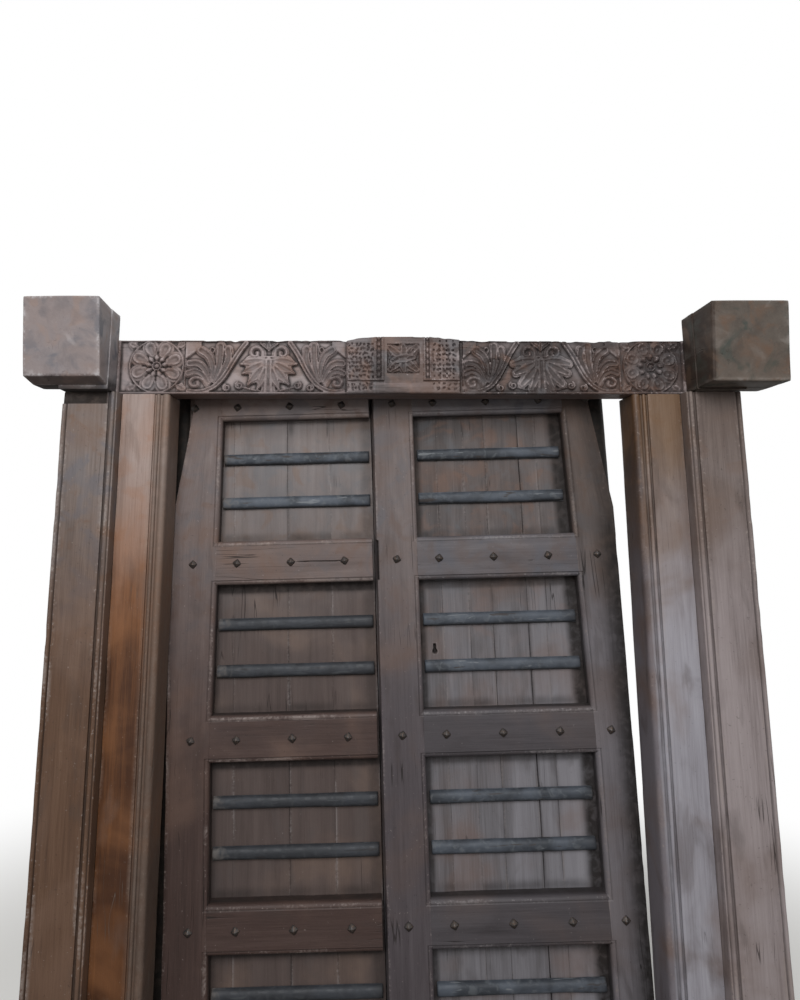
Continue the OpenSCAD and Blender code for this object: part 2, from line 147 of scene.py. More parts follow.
FLOOR_REACH, FLOOR_Z = 7, -0.0005
floor = link("floor", bpy.data.meshes.new("floor"))
corners = [(a * FLOOR_REACH, b * FLOOR_REACH, FLOOR_Z) for a, b in ((-1, -1), (1, -1), (1, 1), (-1, 1))]
floor.data.from_pydata(corners, [], [(0, 1, 2, 3)])
floor.data.materials.append(bpy.data.materials.new("pale_floor"))
ground = empty_tree(floor.data.materials[0])
place = ground.node("TexCoord", {}, {}, "Object")
distance = ground.node("VectorMath", {"operation": "LENGTH"}, {0: place}, "Value")
white = ground.node("Emission", {}, {"Color": WHITE})
looked_at = ground.node("LightPath", {}, {}, "Is Camera Ray")
matt = ground.node("BsdfDiffuse", {}, {"Color": over(looked_at, tone(120, 116, 112), tone(236, 235, 232))})
afar = rise(distance, 1.6, 3.2) * looked_at
ground.node("OutputMaterial", {}, {"Surface": ground.node("MixShader", {}, {0: afar, 1: matt, 2: white})})

# Threshold: one thick plain beam on the floor, hewn square, into which the four jambs are tenoned. The
# leaves' wooden pins turn in two sockets behind it. Its front arris is the most trodden edge of the door.


def waver(s, t, pitch, seed):
    """Smooth unevenness from -1 to 1: random heights on a square net of that pitch, with a smooth
    step between the corners of each square."""
    size = 64
    net = np.random.default_rng(seed).uniform(-1, 1, (size, size))
    a, b = np.broadcast_arrays(s / pitch, t / pitch)
    i, j = np.floor(a).astype(int), np.floor(b).astype(int)
    f, g = (a - i) ** 2 * (3 - 2 * (a - i)), (b - j) ** 2 * (3 - 2 * (b - j))
    near, far = (net[i % size, k % size] * (1 - f) + net[(i + 1) % size, k % size] * f for k in (j, j + 1))
    return near * (1 - g) + far * g


def section(corners, ease, pitch, extra=()):
    """A timber's cross-section. The polygon through the corners is walked at an even pitch, with five
    closer steps at each sharp corner and any extra places, and averaged over a window of plus and minus
    the ease, which rounds the arrises. Gives the points, their outward normals, the way walked to each,
    and the bulge: how far each point stands out from the average of 8 mm to either side."""
    bulge_reach, closest, sharp = 0.008, 0.0003, 0.5
    corners = np.array(corners, float)
    edge = np.roll(corners, -1, 0) - corners
    long = np.hypot(*edge.T)
    start = np.append(0, np.cumsum(long))
    total = start[-1]
    before = np.roll(edge, 1, 0)
    turn = np.arctan2(before[:, 0] * edge[:, 1] - before[:, 1] * edge[:, 0], (before * edge).sum(1))
    steps = np.maximum(1, np.round(long / pitch)).astype(int)
    even = np.concatenate([a + l * np.arange(k) / k for a, l, k in zip(start, long, steps)])
    close = (start[:-1][np.abs(turn) > sharp, None] + ease * np.linspace(-1, 1, 5)).ravel() % total
    walk = np.sort(np.concatenate([even, close, np.array(extra, float) % total]))
    walk = walk[np.diff(walk, prepend=walk[-1] - total) > closest]

    def average(reach):
        at = (walk + np.linspace(-reach, reach, 9)[:, None]) % total
        return np.stack([np.interp(at, start, np.append(c, c[0])).mean(0) for c in corners.T], -1)

    points = average(ease)
    ahead = np.roll(points, -1, 0) - np.roll(points, 1, 0)
    normals = np.sign(turn.sum()) * np.stack([ahead[:, 1], -ahead[:, 0]], -1) / np.hypot(*ahead.T)[:, None]
    return points, normals, walk, ((points - average(bulge_reach)) * normals).sum(1)


def stations(start, end, pitch, extra=()):
    """Places along a timber at an even pitch, closer at both ends, where the arris is eased, and at any
    extra places."""
    tips, closest = np.array([0, 0.0008, 0.002, 0.004]), 0.0002
    even = np.linspace(start, end, max(2, int(round((end - start) / pitch))) + 1)
    places = np.unique(np.concatenate([even, start + tips, end - tips, np.array(extra, float)]))
    places = places[(places >= start) & (places <= end)]
    return places[np.append(True, np.diff(places) > closest)]


def timber(cross, stops, seed, rub, sway, ease=0.004):
    """A timber carried along its length. The section stands at each stop; its faces waver inward by up
    to the sway, its arrises are rubbed back by up to the rub, more in some places than in others, and
    its ends are rounded by the ease. Gives two coordinates across, one along, and the wear."""
    full_arris, full_hollow = 0.0015, 0.0012
    points, normals, walk, bulge = cross
    s, t = stops[:, None], walk[None, :]
    arris, hollow = np.clip(bulge / full_arris, 0, 1), np.clip(-bulge / full_hollow, 0, 1)
    bitten = np.clip(waver(s, t, 0.11, seed) + 0.5 * waver(s, t, 0.03, seed + 1) - 0.25, 0, 1)
    lift = -arris * rub * (0.15 + bitten) - sway * (0.5 + 0.5 * waver(s, t, 0.13, seed + 2))
    tip = np.clip(1 - np.minimum(s - stops[0], stops[-1] - s) / ease, 0, 1)
    lift = lift - ease * (1 - np.sqrt(1 - tip ** 2))
    p, q = points[:, 0] + normals[:, 0] * lift, points[:, 1] + normals[:, 1] * lift
    wear = np.stack(np.broadcast_arrays(np.maximum(arris, tip), hollow, 0 * lift), -1)
    return p, q, s + 0 * p, wear


SHARP_TURN = np.radians(38)


def shell(name, at, grain, wear, finish, body, slot, *nodes):
    """A closed surface through the rings at[i, j]. Quads join each ring to the next, one flat face
    closes each end, and the sign of the volume turns the faces outward. Several shells of like pieces
    may be given as lists. The grain is each point's place in its own timber, and the wear holds the
    rubbed, the soiled and the tinted share; on some pieces these carry painted highlight, painted shade
    and painted light as well as wear, dirt and tone."""
    at, grain, wear = (v if isinstance(v, list) else [v] for v in (at, grain, wear))
    faces, base = [], 0
    for rings in at:
        index = np.arange(rings[..., 0].size).reshape(rings.shape[:2])
        beside = np.roll(index, -1, 1)
        quads = np.stack([index[:-1], beside[:-1], beside[1:], index[1:]], -1)
        centred = rings.reshape(-1, 3) - rings.reshape(-1, 3).mean(0)
        a, b, c, d = (centred[quads[..., k].ravel()] for k in range(4))
        volume = (np.cross(a, b) * c).sum() + (np.cross(a, c) * d).sum()
        way = 1 if volume > 0 else -1
        ends = [index[0][::-1], index[-1]]
        faces += (quads.reshape(-1, 4)[:, ::way] + base).tolist() + [(e[::way] + base).tolist() for e in ends]
        base += index.size
    points, grain, wear = (np.concatenate([x.reshape(-1, 3) for x in v]) for v in (at, grain, wear))
    mesh = bpy.data.meshes.new(name)
    mesh.from_pydata(points.tolist(), [], faces)
    for key, values in (("grain", grain), ("wear", wear)):
        held = mesh.attributes.new(key, "FLOAT_VECTOR", "POINT")
        held.data.foreach_set("vector", values.astype(np.float32).ravel())
    mesh.shade_smooth()
    mesh.set_sharp_from_angle(angle=SHARP_TURN)
    mesh.materials.append(finish)
    made = link(name, mesh)
    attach(made, body)
    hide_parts(*nodes)


def figure(p, q, s, seed):
    """Each point's place in its own timber: across, deep and along, shifted so that no two timbers
    show the same figure."""
    shift = np.random.default_rng(seed + 500).uniform(0, 20, 3)
    return np.stack(np.broadcast_arrays(p, q, s), -1) + shift


def noise(vector, scale, detail, warp=0, stretch=None):
    """Noise with so many features to the metre; a stretch below 1 draws it out along the grain."""
    if stretch:
        vector = vector.node("VectorMath", {"operation": "MULTIPLY"}, {0: vector, 1: (1, 1, stretch)})
    return vector.node("TexNoise", {},
                       {"Vector": vector, "Scale": scale, "Detail": detail, "Distortion": warp})


def new_finish(name):
    """A material without a surface yet. Gives it with each point's place, its grain and its wear's shares."""
    made = bpy.data.materials.new(name)
    tree = empty_tree(made)
    grain, wear = (tree.node("Attribute", {"attribute_name": key}, {}, "Vector") for key in ("grain", "wear"))
    shares = [tree.node("SeparateXYZ", {}, {0: wear}, axis) for axis in "XYZ"]
    return made, tree.node("TexCoord", {}, {}, "Object"), grain, shares


def coats(colour, *laid):
    """The colour with further ones laid over it in turn, each where its own mask says."""
    for mask, above in laid:
        colour = over(mask, colour, tone(*above))
    return colour


def skin(colour, rough, relief, strength, distance, others):
    """Gives a material its surface: a colour, a roughness, a bump from the relief, and other settings."""
    bump = colour.node("Bump", {}, {"Height": relief, "Strength": strength, "Distance": distance})
    surface = {"Base Color": colour, "Roughness": rough, "Normal": bump, **others}
    colour.node("OutputMaterial", {}, {"Surface": colour.node("BsdfPrincipled", {}, surface)})


def old_wood(name, deep, body, high, rubbed, soil, stain, low=None, dust=0.3, gloss=0.55,
             figured=0.6, coarse=1.0, cool=None, clouds=0.5, chips=0.5):
    """Aged timber. Bands, fibres and pores are noise drawn out along the grain, and pick from a deep to
    a high tone; broad stains, warm and cool clouds and dusty patches lie over them. Thin checks run with
    the grain. The rubbed share pales the arrises and the soiled share darkens the hollows; on some pieces
    these shares also carry painted highlight and painted shade. Below a given height the low tones take
    over, and on some pieces these are a painted sheen. Coarse says how plainly fibres, pores and specks
    show, clouds how strong the warm and cool places are, and chips how pale the arrises."""
    made, place, grain, (edge, hollow, tint) = new_finish(name)

    def shades(*tones):
        stops = [(at, tone(*each)) for at, each in zip((0.12, 0.5, 0.9), tones)]
        return shade.node("ValToRGB", {"stops": stops}, {0: shade})

    bands = noise(grain, 24, 3, 0.8, 0.06)
    fibres = noise(grain, 190, 3, 0.3, 0.03)
    pores = noise(grain, 620, 2, 0, 0.03)
    broad = noise(place, 4.5, 4, 0.4)
    cloud = noise(place, 15, 4, 0.6)
    patch = noise(grain, 16, 5, 0.5, 0.35)
    speck = noise(place, 150, 2)
    dent = noise(place, 45, 3, 0.5)
    shade = (0.5 + (bands - 0.5) * figured + (fibres - 0.5) * (0.55 * coarse)
             + (pores - 0.5) * (0.4 * coarse) + tint)
    colour = coats(shades(deep, body, high), (rise(cloud, 0.52, 0.66) * clouds, stain))
    if cool:
        colour = coats(colour, (rise(cloud, 0.48, 0.34) * clouds, cool))
    colour = coats(colour, (rise(patch, 0.54, 0.74) * dust, rubbed))
    if low:
        lowest, highest, *tones = low
        height = place.node("SeparateXYZ", {}, {0: place}, "Z") + (broad - 0.5) * 0.5
        colour = over(rise(height, lowest, highest), shades(*tones), colour)
    seam = noise(grain, 34, 2, 0.5, 0.04) - 0.5
    check = rise(seam.maths("ABSOLUTE", seam, 0), 0.008, 0.002) * rise(noise(place, 6, 2), 0.57, 0.67)
    rub = edge * rise(patch + (speck - 0.5) * 0.4, 0.48, 0.68)
    colour = coats(colour, (rise(broad, 0.45, 0.7) * 0.5, stain), (rise(patch, 0.46, 0.3) * 0.35, deep),
                   (check * 0.8, soil), (rub * chips, rubbed),
                   (rise(speck + edge * 0.08, 0.71, 0.77) * (0.5 * coarse), rubbed),
                   (rise(speck, 0.31, 0.26) * (0.5 * coarse), soil),
                   (hollow * (0.72 + 0.22 * rise(dent, 0.3, 0.6)), soil))
    relief = (fibres * 0.35 + pores * 0.2 + dent * 0.5) * coarse + bands * 0.3 - check * 1.2
    rough = gloss + 0.16 * rise(patch, 0.35, 0.7) + 0.12 * hollow - 0.08 * rub
    skin(colour, rough, relief, 0.55, 0.003, {"Specular IOR Level": 0.32})
    return made


def box_section(p0, p1, q0, q1):
    """The four corners of a squared timber."""
    return [(p0, q0), (p1, q0), (p1, q1), (p0, q1)]


plain_wood = old_wood("plain_wood", (46, 38, 33), (84, 71, 62), (112, 97, 86), (142, 128, 117), (26, 21, 18),
                      (92, 70, 54))


def squared_beam(name, pitch, rub, seed):
    """A squared beam that lies across the door, as wide, deep and high as its CAD solid."""
    lo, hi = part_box(name)
    cross = section(box_section(lo.y, hi.y, lo.z, hi.z), 0.004, 0.018)
    q, r, s, wear = timber(cross, stations(lo.x, hi.x, pitch), seed, rub, 0.002)
    shell(name + "_beam", np.stack([s, q, r], -1), figure(q, r, s, seed), wear, plain_wood, "frame",
          "plain_wood", name)


squared_beam("threshold", 0.014, 0.006, 11)

# Jambs: two posts on each side, moulded along their edges with a plane and tenoned at both ends. The
# outer pair stands forward of the lintel's face, and the inner pair has a corner bead and a reed.


def arc(centre, radius, first, last, count):
    """Points on part of a circle, from one angle to another in degrees."""
    turn = np.radians(np.linspace(first, last, count + 1))
    return [(centre[0] + radius * c, centre[1] + radius * s) for c, s in zip(np.cos(turn), np.sin(turn))]


def inner_jamb_plan(width, depth):
    """Plan of an inner jamb in millimetres, from the opening outward: an 11 mm corner bead, a quirk, a
    5 mm reed, a second quirk and the plain face."""
    bead, reed, quirk = 11, 5, 8
    return [(0, depth), *arc((bead, bead), bead, 180, 345, 8), (23, quirk), (26, quirk),
            *arc((26 + reed, reed), reed, 180, 345, 6), (37, quirk - 2), (40, quirk - 2), (40, 0),
            (width, 0), (width, depth)]


def outer_jamb_plan(width, depth, proud):
    """Plan of an outer jamb in millimetres: a fillet, a 6 mm bead and a quirk on the inner edge, the
    plain face, and a quirk and a bead on the outer edge."""
    bead, face, fillet, quirk = 6, -proud, 4 - proud, 7 - proud
    return [(0, depth), (0, fillet), (5, fillet), (5, face + bead),
            *arc((12, face + bead), bead, 180, 345, 6), (19, quirk), (22, quirk), (22, face),
            (width - 16, face), (width - 16, quirk), (width - 13, quirk),
            *arc((width - bead, face + bead), bead, 195, 360, 6), (width, depth)]


def step(value, low, high):
    """0 below low, 1 above high and a smooth climb between; with low above high it falls instead."""
    t = np.clip((value - low) / (high - low), 0, 1)
    return t * t * (3 - 2 * t)


def add_dirt_and_shade(wear, share):
    """Raises the soiled share of the wear, which carries dirt and painted shade alike, wherever the new share
    is higher.
    """
    wear[..., 1] = np.maximum(wear[..., 1], share)


JAMB_WOODS = {
    "left_outer_jamb": old_wood(
        "left_outer_jamb_wood", (66, 57, 53), (111, 101, 97), (138, 128, 124), (154, 145, 140), (33, 26, 22),
        (108, 85, 71), (1.1, 1.9, (48, 34, 26), (88, 65, 50), (115, 91, 74)), dust=0.14, coarse=0.7,
        cool=(98, 97, 102), clouds=0.8, chips=0.45),
    # The low tones of this jamb, paler and greyer towards its foot, are a painted sheen of reflected light.
    "right_outer_jamb": old_wood(
        "right_outer_jamb_wood", (57, 48, 44), (97, 85, 80), (122, 110, 104), (150, 138, 131), (34, 27, 23),
        (98, 79, 68), (1.1, 1.9, (92, 82, 80), (142, 132, 132), (164, 155, 155)), dust=0.1, coarse=0.7,
        chips=0.35),
    "left_inner_jamb": old_wood(
        "left_inner_jamb_wood", (96, 78, 69), (146, 129, 122), (166, 152, 146), (156, 138, 126), (98, 86, 78),
        (140, 94, 60), (1.35, 1.8, (62, 36, 20), (114, 74, 45), (140, 98, 64)), dust=0.1, gloss=0.45,
        coarse=0.7, clouds=0.25, chips=0.25),
    # The low tones of this jamb, pale and bluish towards its foot, are a painted sheen of reflected light.
    "right_inner_jamb": old_wood(
        "right_inner_jamb_wood", (60, 44, 34), (103, 82, 65), (127, 106, 88), (148, 136, 130), (32, 25, 21),
        (104, 76, 52), (1.15, 1.9, (112, 107, 112), (152, 150, 157), (170, 169, 176)), dust=0.08, gloss=0.42,
        coarse=0.6, chips=0.25),
}
THRESHOLD_TOP, LINTEL_FOOT = 0.05, 1.95
# The notch at the top of the left outer jamb: its foot, its inner edge and its back
NOTCH_FOOT, NOTCH_FROM, NOTCH_BACK = 1.917, 0.024, -0.025
QUIRK_SOIL = {-1: 0.7, 1: 0.5}
for number, (name, finish) in enumerate(JAMB_WOODS.items()):
    lo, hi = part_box(name)
    side = -1 if lo.x < 0 else 1
    inner = min(abs(lo.x), abs(hi.x))
    width, depth, proud = 1000 * (hi.x - lo.x), 1000 * hi.y, -1000 * lo.y
    plan = inner_jamb_plan(width, depth) if "inner" in name else outer_jamb_plan(width, depth, proud)
    cross = section(np.array(plan) / 1000, 0.0012, 0.011)
    stops = stations(THRESHOLD_TOP, LINTEL_FOOT, 0.013, (NOTCH_FOOT - 0.0005, NOTCH_FOOT + 0.0005))
    p, q, s, wear = timber(cross, stops, 20 + 10 * number, 0.0016, 0.0012, 0.002)
    wear[..., 1] *= QUIRK_SOIL[side]
    if name == "left_outer_jamb":
        notched = (s > NOTCH_FOOT) & (p > NOTCH_FROM) & (q < NOTCH_BACK)
        q = np.where(notched, NOTCH_BACK, q)
        # The notch is darkened: dirt, and painted shadow of the corner block above it.
        add_dirt_and_shade(wear, notched)
    elif name == "left_inner_jamb":
        # Its mouldings are grey with dust, and its face darkens towards the foot
        wear[..., 1] = 0.75 * step(p, 0.046, 0.034)
        wear[..., 2] -= 0.28 * step(s, 1.5, 1.15) + 0.12 * step(s, 1.1, 0.7)
    elif name == "right_inner_jamb":
        # Painted shade: the corner bead is darkened where it turns away from the light.
        wear[..., 2] -= 0.5 * step(p, 0.018, 0.006)
    shell(name + "_post", np.stack([side * (p + inner), q, s], -1), figure(p, q, s, number), wear, finish,
          "frame", name.split("_", 1)[1] + "_wood", name)

# Pivot head: a plain beam of the same wood as the threshold. It is set behind the lintel, out of sight
# from the front, and has two sockets for the upper pins of the leaves.

squared_beam("pivot_head", 0.02, 0.004, 71)

# Carved lintel: one long timber across all four jambs, cut back by 10 mm round a row of rosettes, fluted
# half palmettes and palmettes, with a chip-carved block that stands forward in the middle. All of it is
# worked with gouge and knife in the solid, and the ground is left a little rough. Sizes in millimetres.

LINTEL_H, LINTEL_D, LINTEL_HALF, FIELD_HALF, END_STEP, GROUND = 150, 80, 895, 771, 6, 10
BLOCK_X, BLOCK_HALF, BLOCK_FACE, BLOCK_TOP = 6, 156, 17.2, 158
along_x = np.linspace(-FIELD_HALF, FIELD_HALF, 860)
end_x = np.linspace(FIELD_HALF + END_STEP, LINTEL_HALF, 10)
along_x = np.concatenate([-end_x[::-1], along_x, end_x])
up_h = np.linspace(0, BLOCK_TOP, 89)
carve_x, carve_h = along_x[:, None] + 0 * up_h, 0 * along_x[:, None] + up_h
carved = np.zeros_like(carve_x)
carving = np.random.default_rng(4)


def window(x0, x1, h0, h1):
    """The part of the carving's grid between two places along the lintel and two heights."""
    i, j = np.searchsorted(along_x, [x0, x1]), np.searchsorted(up_h, [h0, h1])
    return slice(i[0], i[1]), slice(j[0], j[1])


def curve(*marks, count=18):
    """A smooth line through the marks: each coordinate is a cubic Hermite blend between neighbouring
    marks, with the slope at a mark taken from the marks on both sides of it."""
    marks = np.array(marks, float)
    slope = np.gradient(marks, axis=0)
    t = np.linspace(0, len(marks) - 1, count)
    k = np.minimum(t.astype(int), len(marks) - 2)
    f = (t - k)[:, None]
    return ((2 * f ** 3 - 3 * f ** 2 + 1) * marks[k] + (f ** 3 - 2 * f ** 2 + f) * slope[k]
            + (3 * f ** 2 - 2 * f ** 3) * marks[k + 1] + (f ** 3 - f ** 2) * slope[k + 1])


def spiral(centre, outer, inner, first, last, count=26):
    """A line that winds round a centre while its radius shrinks evenly, between two angles in degrees."""
    t = np.linspace(0, 1, count)[:, None]
    turn = np.radians(first + (last - first) * t)
    return np.array(centre) + (outer + (inner - outer) * t) * np.hstack([np.cos(turn), np.sin(turn)])


CUTS = {
    "flute": lambda q: step(q, 1.1, 0.94) * (0.42 + 0.58 * step(q, 0.2, 0.84)),
    "dome": lambda q: np.sqrt(np.clip(1 - q ** 2, 0, 1)),
    "band": lambda q: step(q, 1.1, 0.88) * (0.6 + 0.4 * step(q, 0.08, 0.5)),
    "leaf": lambda q: step(q, 1.12, 0.8) * (0.55 + 0.45 * step(q, 0.05, 0.6)),
    "bed": lambda q: step(q, 1.1, 0.9),
}


def carve(path, start, end, crest, cut, point=0.0, bed=0.0):
    """Raises the ground along a line. A grid point's nearest place on the line gives its distance q in
    half widths there, the half width runs from start to end along the line and may narrow to a point,
    and the cut's own curve of q gives the height below the crest. The higher of old and new stays. A bed
    is a lower step, half as wide again, that joins the parts of one leaf."""
    path = np.array(path, float)
    wide = 1.7 * max(start, end)
    (x0, h0), (x1, h1) = path.min(0) - wide, path.max(0) + wide
    at = window(x0, x1, h0, h1)
    a, d = path[:-1], np.diff(path, axis=0)
    run = np.append(0, np.cumsum(np.hypot(*d.T)))
    x, h = carve_x[at][..., None] - a[:, 0], carve_h[at][..., None] - a[:, 1]
    t = np.clip((x * d[:, 0] + h * d[:, 1]) / (d ** 2).sum(1), 0, 1)
    gap = np.hypot(x - t * d[:, 0], h - t * d[:, 1])
    k = gap.argmin(-1)[..., None]
    share = (run[k] + np.take_along_axis(t, k, -1) * np.diff(run)[k])[..., 0] / run[-1]
    swell = np.sin(0.5 * np.pi * np.clip(share / 0.7, 0, 1))
    half = (start + (end - start) * swell) * (1 - point * step(share, 0.6, 1.02))
    q = np.take_along_axis(gap, k, -1)[..., 0] / np.maximum(half, 0.4)
    height = crest * CUTS[cut](q) * (0.72 + 0.28 * step(share, 0, 0.35))
    carved[at] = np.maximum(carved[at], np.maximum(height, bed * CUTS["bed"](q / 1.5)))


def rosette(x, h, curled):
    """Eight broad hollow petals round nine drops and a button, in a thin round frame with a leaf in each
    corner outside it. The curled kind has round cups instead of petals and beads instead of drops."""
    petal, petal_half, drop, drop_half, point = (48, 13, 24, 6, 0) if curled else (36, 8, 15, 2.5, 0.5)

    def ray(turn, first, last):
        return (x, h) + np.outer((first, last), (np.cos(turn), np.sin(turn)))
    for turn in np.radians(45 * np.arange(8) + 20):
        carve(ray(turn, petal, 55), petal_half, 15, 8.5, "flute", bed=4)
        if curled:
            carve(ray(turn, 50, 53), 4.5, 4.5, 7, "dome")
    for turn in np.radians(40 * np.arange(9) + 10):
        carve(ray(turn, drop, 29), drop_half, 7.5, 11, "dome", point)
    carve(spiral((x, h), 73, 73, 0, 360, 60), 2.8, 2.8, 7.5, "dome")
    carve(spiral((x, h), 11, 11, 0, 360, 20), 2.2, 2.2, 8, "dome")
    carve([(x, h), (x + 0.5, h)], 7, 7, 11, "dome")
    for side, lift in ((-1, -1), (-1, 1), (1, -1), (1, 1)):
        leaf = [(x + side * 71, h + lift * 62), (x + side * 58, h + lift * 55)]
        carve(leaf, 7, 10, 7, "leaf", 0.6, 3)


def half_palmette(x, wide, side):
    """A spray beside a thick grooved stem: five fluted lobes that fan out from one root, the lowest
    with a scroll below it. It is drawn 165 mm wide from the left and may be narrower or turned round."""
    drawn = 165

    def at(*marks):
        return curve(*[(x + side * u * wide / drawn, h) for u, h in marks])
    stem = at((12, 10), (42, 7), (77, 17), (103, 41), (124, 74), (146, 113), (167, 142))
    carve(stem, 5.5, 7.5, 9.8, "band")
    for half, *lobe in ((9.5, (86, 33), (109, 67), (120, 98), (118, 124)),
                        (10, (81, 35), (95, 80), (98, 133)),
                        (9.5, (77, 37), (78, 76), (66, 106), (44, 122)),
                        (8.5, (72, 35), (57, 67), (37, 84), (14, 84)),
                        (7.5, (68, 30), (50, 54), (30, 62), (11, 57))):
        carve(at(*lobe), 3.4, half, 9.8, "flute", bed=5)
    carve(at((64, 24), (50, 42), (28, 46), (16, 34), (24, 22), (38, 25), (37, 34)), 5, 3.6, 9, "dome", bed=4)
    carve(at((68, 122), (74, 130), (82, 124), (78, 115)), 3, 3, 8, "dome")
    carve(at((2.5, 26), (3, 96)), 2.2, 2.2, 7.5, "dome")
    corner = window(*sorted((x + side * 2, x + side * 0.27 * wide)), 98, 147)
    slope = (carve_x[corner] - x) * side / wide * drawn
    carved[corner] = np.maximum(carved[corner], 6.5 * step(carve_h[corner] - 94 - 0.75 * slope, 0, 4))


def palmette(x, point):
    """Eight veined lobes that hang from a collar round a broad stem as one leaf, two volutes above it
    with a small trefoil between them, a scalloped line below and rolled knobs in the lower corners. The
    lobes' ends are pointed or rounded."""
    carve(curve((x, 6), (x, 45), (x, 92)), 14, 10, 9.6, "band", bed=5)
    for side in (-1, 1):
        def at(*marks):
            return curve(*[(x + side * u, h) for u, h in marks])
        for tip, bend, half in (((76, 84), (38, 92), 12.5), ((70, 58), (36, 75), 13),
                                ((55, 27), (27, 60), 13.5), ((29, 14), (15, 48), 11)):
            carve(at((6, 92), bend, tip), 5, half, 9.6, "leaf", point, 7)
        carve(spiral((36, 114), 21, 5, 215, -190) * (side, 1) + (x, 0), 6.5, 4.5, 9.8, "dome", bed=4)
        carve(at((0, 124), (10, 134), (24, 142)), 3.5, 6, 8.5, "leaf", 0.6)
        carve(at((92, 30), (70, 20), (46, 13), (22, 9), (0, 6)), 1.8, 2.2, 5.5, "dome")
        for knob, r in (((79, 24), 11), ((113, 18), 10.5)):
            carve(spiral(knob, r, 3, 60, -400) * (side, 1) + (x, 0), 3.6, 3.2, 9, "dome")
    carve([(x, 122), (x, 146)], 3.5, 6, 9, "leaf", 0.6)
    for h in (95, 104):
        carve([(x - 15, h), (x + 15, h)], 3.6, 3.6, 10, "dome")


rosette(-667, 78, False)
rosette(681, 76, True)
for spray in ((-591, 165, 1), (-146, 155, -1), (166, 150, 1), (598, 148, -1)):
    half_palmette(*spray)
palmette(-361, 0.8)
palmette(383, 0.35)
carve([(597, 6), (597, 140)], 2.4, 2.4, 9.5, "dome")
# The plain border along the foot, a narrow one along the top, and the flat ends behind the corner blocks
border = np.maximum(step(carve_h, 7, 5), 0.8 * step(carve_h, 146, 149))
border = np.maximum(border, step(np.abs(carve_x), FIELD_HALF - 5, FIELD_HALF - 3))
carved[:] = np.maximum(carved, GROUND * border)

# The middle block: fields of small chips, beads between thin ridges, and a leaf in a sunk square
block_x = carve_x - BLOCK_X
off = np.abs(block_x)
edged = step(off, BLOCK_HALF + 1, BLOCK_HALF - 5)
chip = np.zeros_like(carved)
# Each field of chips: its middle, the heights of its rows, its reach to either side and its pitch
FIELDS = ((-112, (13, 25), 38, 10.5), (-112, np.arange(48, 146, 12.5), 36, 10.5), (116, (14, 26), 36, 15),
          (116, np.arange(50, 146, 14), 34, 14))
CHIP_REACH, CHIP_HALF = 8, 2.4
for middle, rows, reach, pitch in FIELDS:
    for x, h in [(x, h) for h in rows for x in np.arange(middle - reach, middle + reach + 1, pitch)]:
        for _ in range(carving.integers(1, 4)):
            x0, h0 = (x, h) + carving.uniform(-3.5, 3.5, 2)
            lean, half = np.radians(carving.uniform(0, 180)), carving.uniform(2.5, 5.5)
            mid = BLOCK_X + x0
            near = window(mid - CHIP_REACH, mid + CHIP_REACH, h0 - CHIP_REACH, h0 + CHIP_REACH)
            dx, dh = block_x[near] - x0, carve_h[near] - h0
            run, gap = dx * np.cos(lean) + dh * np.sin(lean), dh * np.cos(lean) - dx * np.sin(lean)
            cut = np.clip(1 - np.abs(run) / half, 0, 1) ** 0.5 * np.clip(1 - np.abs(gap) / CHIP_HALF, 0, 1)
            chip[near] = np.maximum(chip[near], cut)
for column in (100, 118, 136):
    dots = np.hypot(block_x - column, (carve_h - 9) % 13 - 6.5)
    chip = np.maximum(chip, step(dots, 2.8, 1.2) * step(carve_h, 40, 44))


def bell(off, reach):
    """1 in the middle, falling off to either side as the exponential of minus the square of off / reach."""
    return np.exp(-(off / reach) ** 2)


strip = np.abs(off - 66)
ridges = (bell(strip - 7.5, 1.3) + bell(strip - 12, 1.3)) * step(carve_h, 38, 42)
beads = np.clip(1 - np.hypot(strip / 4.6, ((carve_h - 44) % 17 - 8.5) / 8) ** 2, 0, 1) ** 0.6
trough = step(strip, 6.2, 4.8) * step(carve_h, 40, 43)
lines = step(off, 52, 54) * (bell(carve_h - 38, 1.6) - 1.6 * bell(carve_h - 34, 1.5))
square = step(off, 44.5, 42) * step(carve_h, 55, 57.5) * step(carve_h, 138, 135.5)
block = (BLOCK_FACE - 5.5 * chip * step(strip, 12, 15) + 1.6 * ridges + 1.8 * lines
         - trough * (4.5 - 5 * beads) - 8 * square)
field = carved.copy()
carved[:] = 0
carve(curve((-22, 90), (2, 97), (34, 100)), 9, 15, 8.5, "leaf", 0.5)
for tip, bend, half in (((-31, 128), (-14, 112), 13), ((42, 128), (26, 116), 13), ((-30, 66), (-18, 76), 12),
                        ((42, 66), (28, 78), 12), ((6, 130), (8, 116), 12), ((8, 64), (6, 76), 11)):
    carve(curve((6, 96), bend, tip), 5, half, 7.5, "leaf", 0.3, 4)
for centre in ((-24, 98), (34, 116), (-22, 70), (36, 76)):
    carve(spiral(centre, 9, 2.5, 40, 420), 2.8, 2.4, 8, "dome")
block += carved * square
carved[:] = field * (1 - edged) + block * edged

# Wear of the carving: the right half is rubbed lower, with a bruised patch, and the top edge is nibbled
worn = 1 - 0.12 * step(carve_x, 100, 400) - 0.5 * bell(carve_x - 190, 50) * bell(carve_h - 18, 26)
uneven = waver(carve_x, carve_h, 9, 5) * 0.4 + waver(carve_x, carve_h, 31, 6) * 0.6
carved = carved * worn + uneven * np.clip(carved / 8, 0.3, 1) * (np.abs(carve_x) < FIELD_HALF)


def spread(values, reach):
    """The average over a square of that many cells to either side, from running sums both ways."""
    for axis in (0, 1):
        margin = [(reach + 1, reach) if k == axis else (0, 0) for k in (0, 1)]
        sums = np.pad(values, margin, "edge").cumsum(axis)
        size, wide = values.shape[axis], 2 * reach + 1
        values = (np.take(sums, range(wide, wide + size), axis) - np.take(sums, range(size), axis)) / wide
    return values
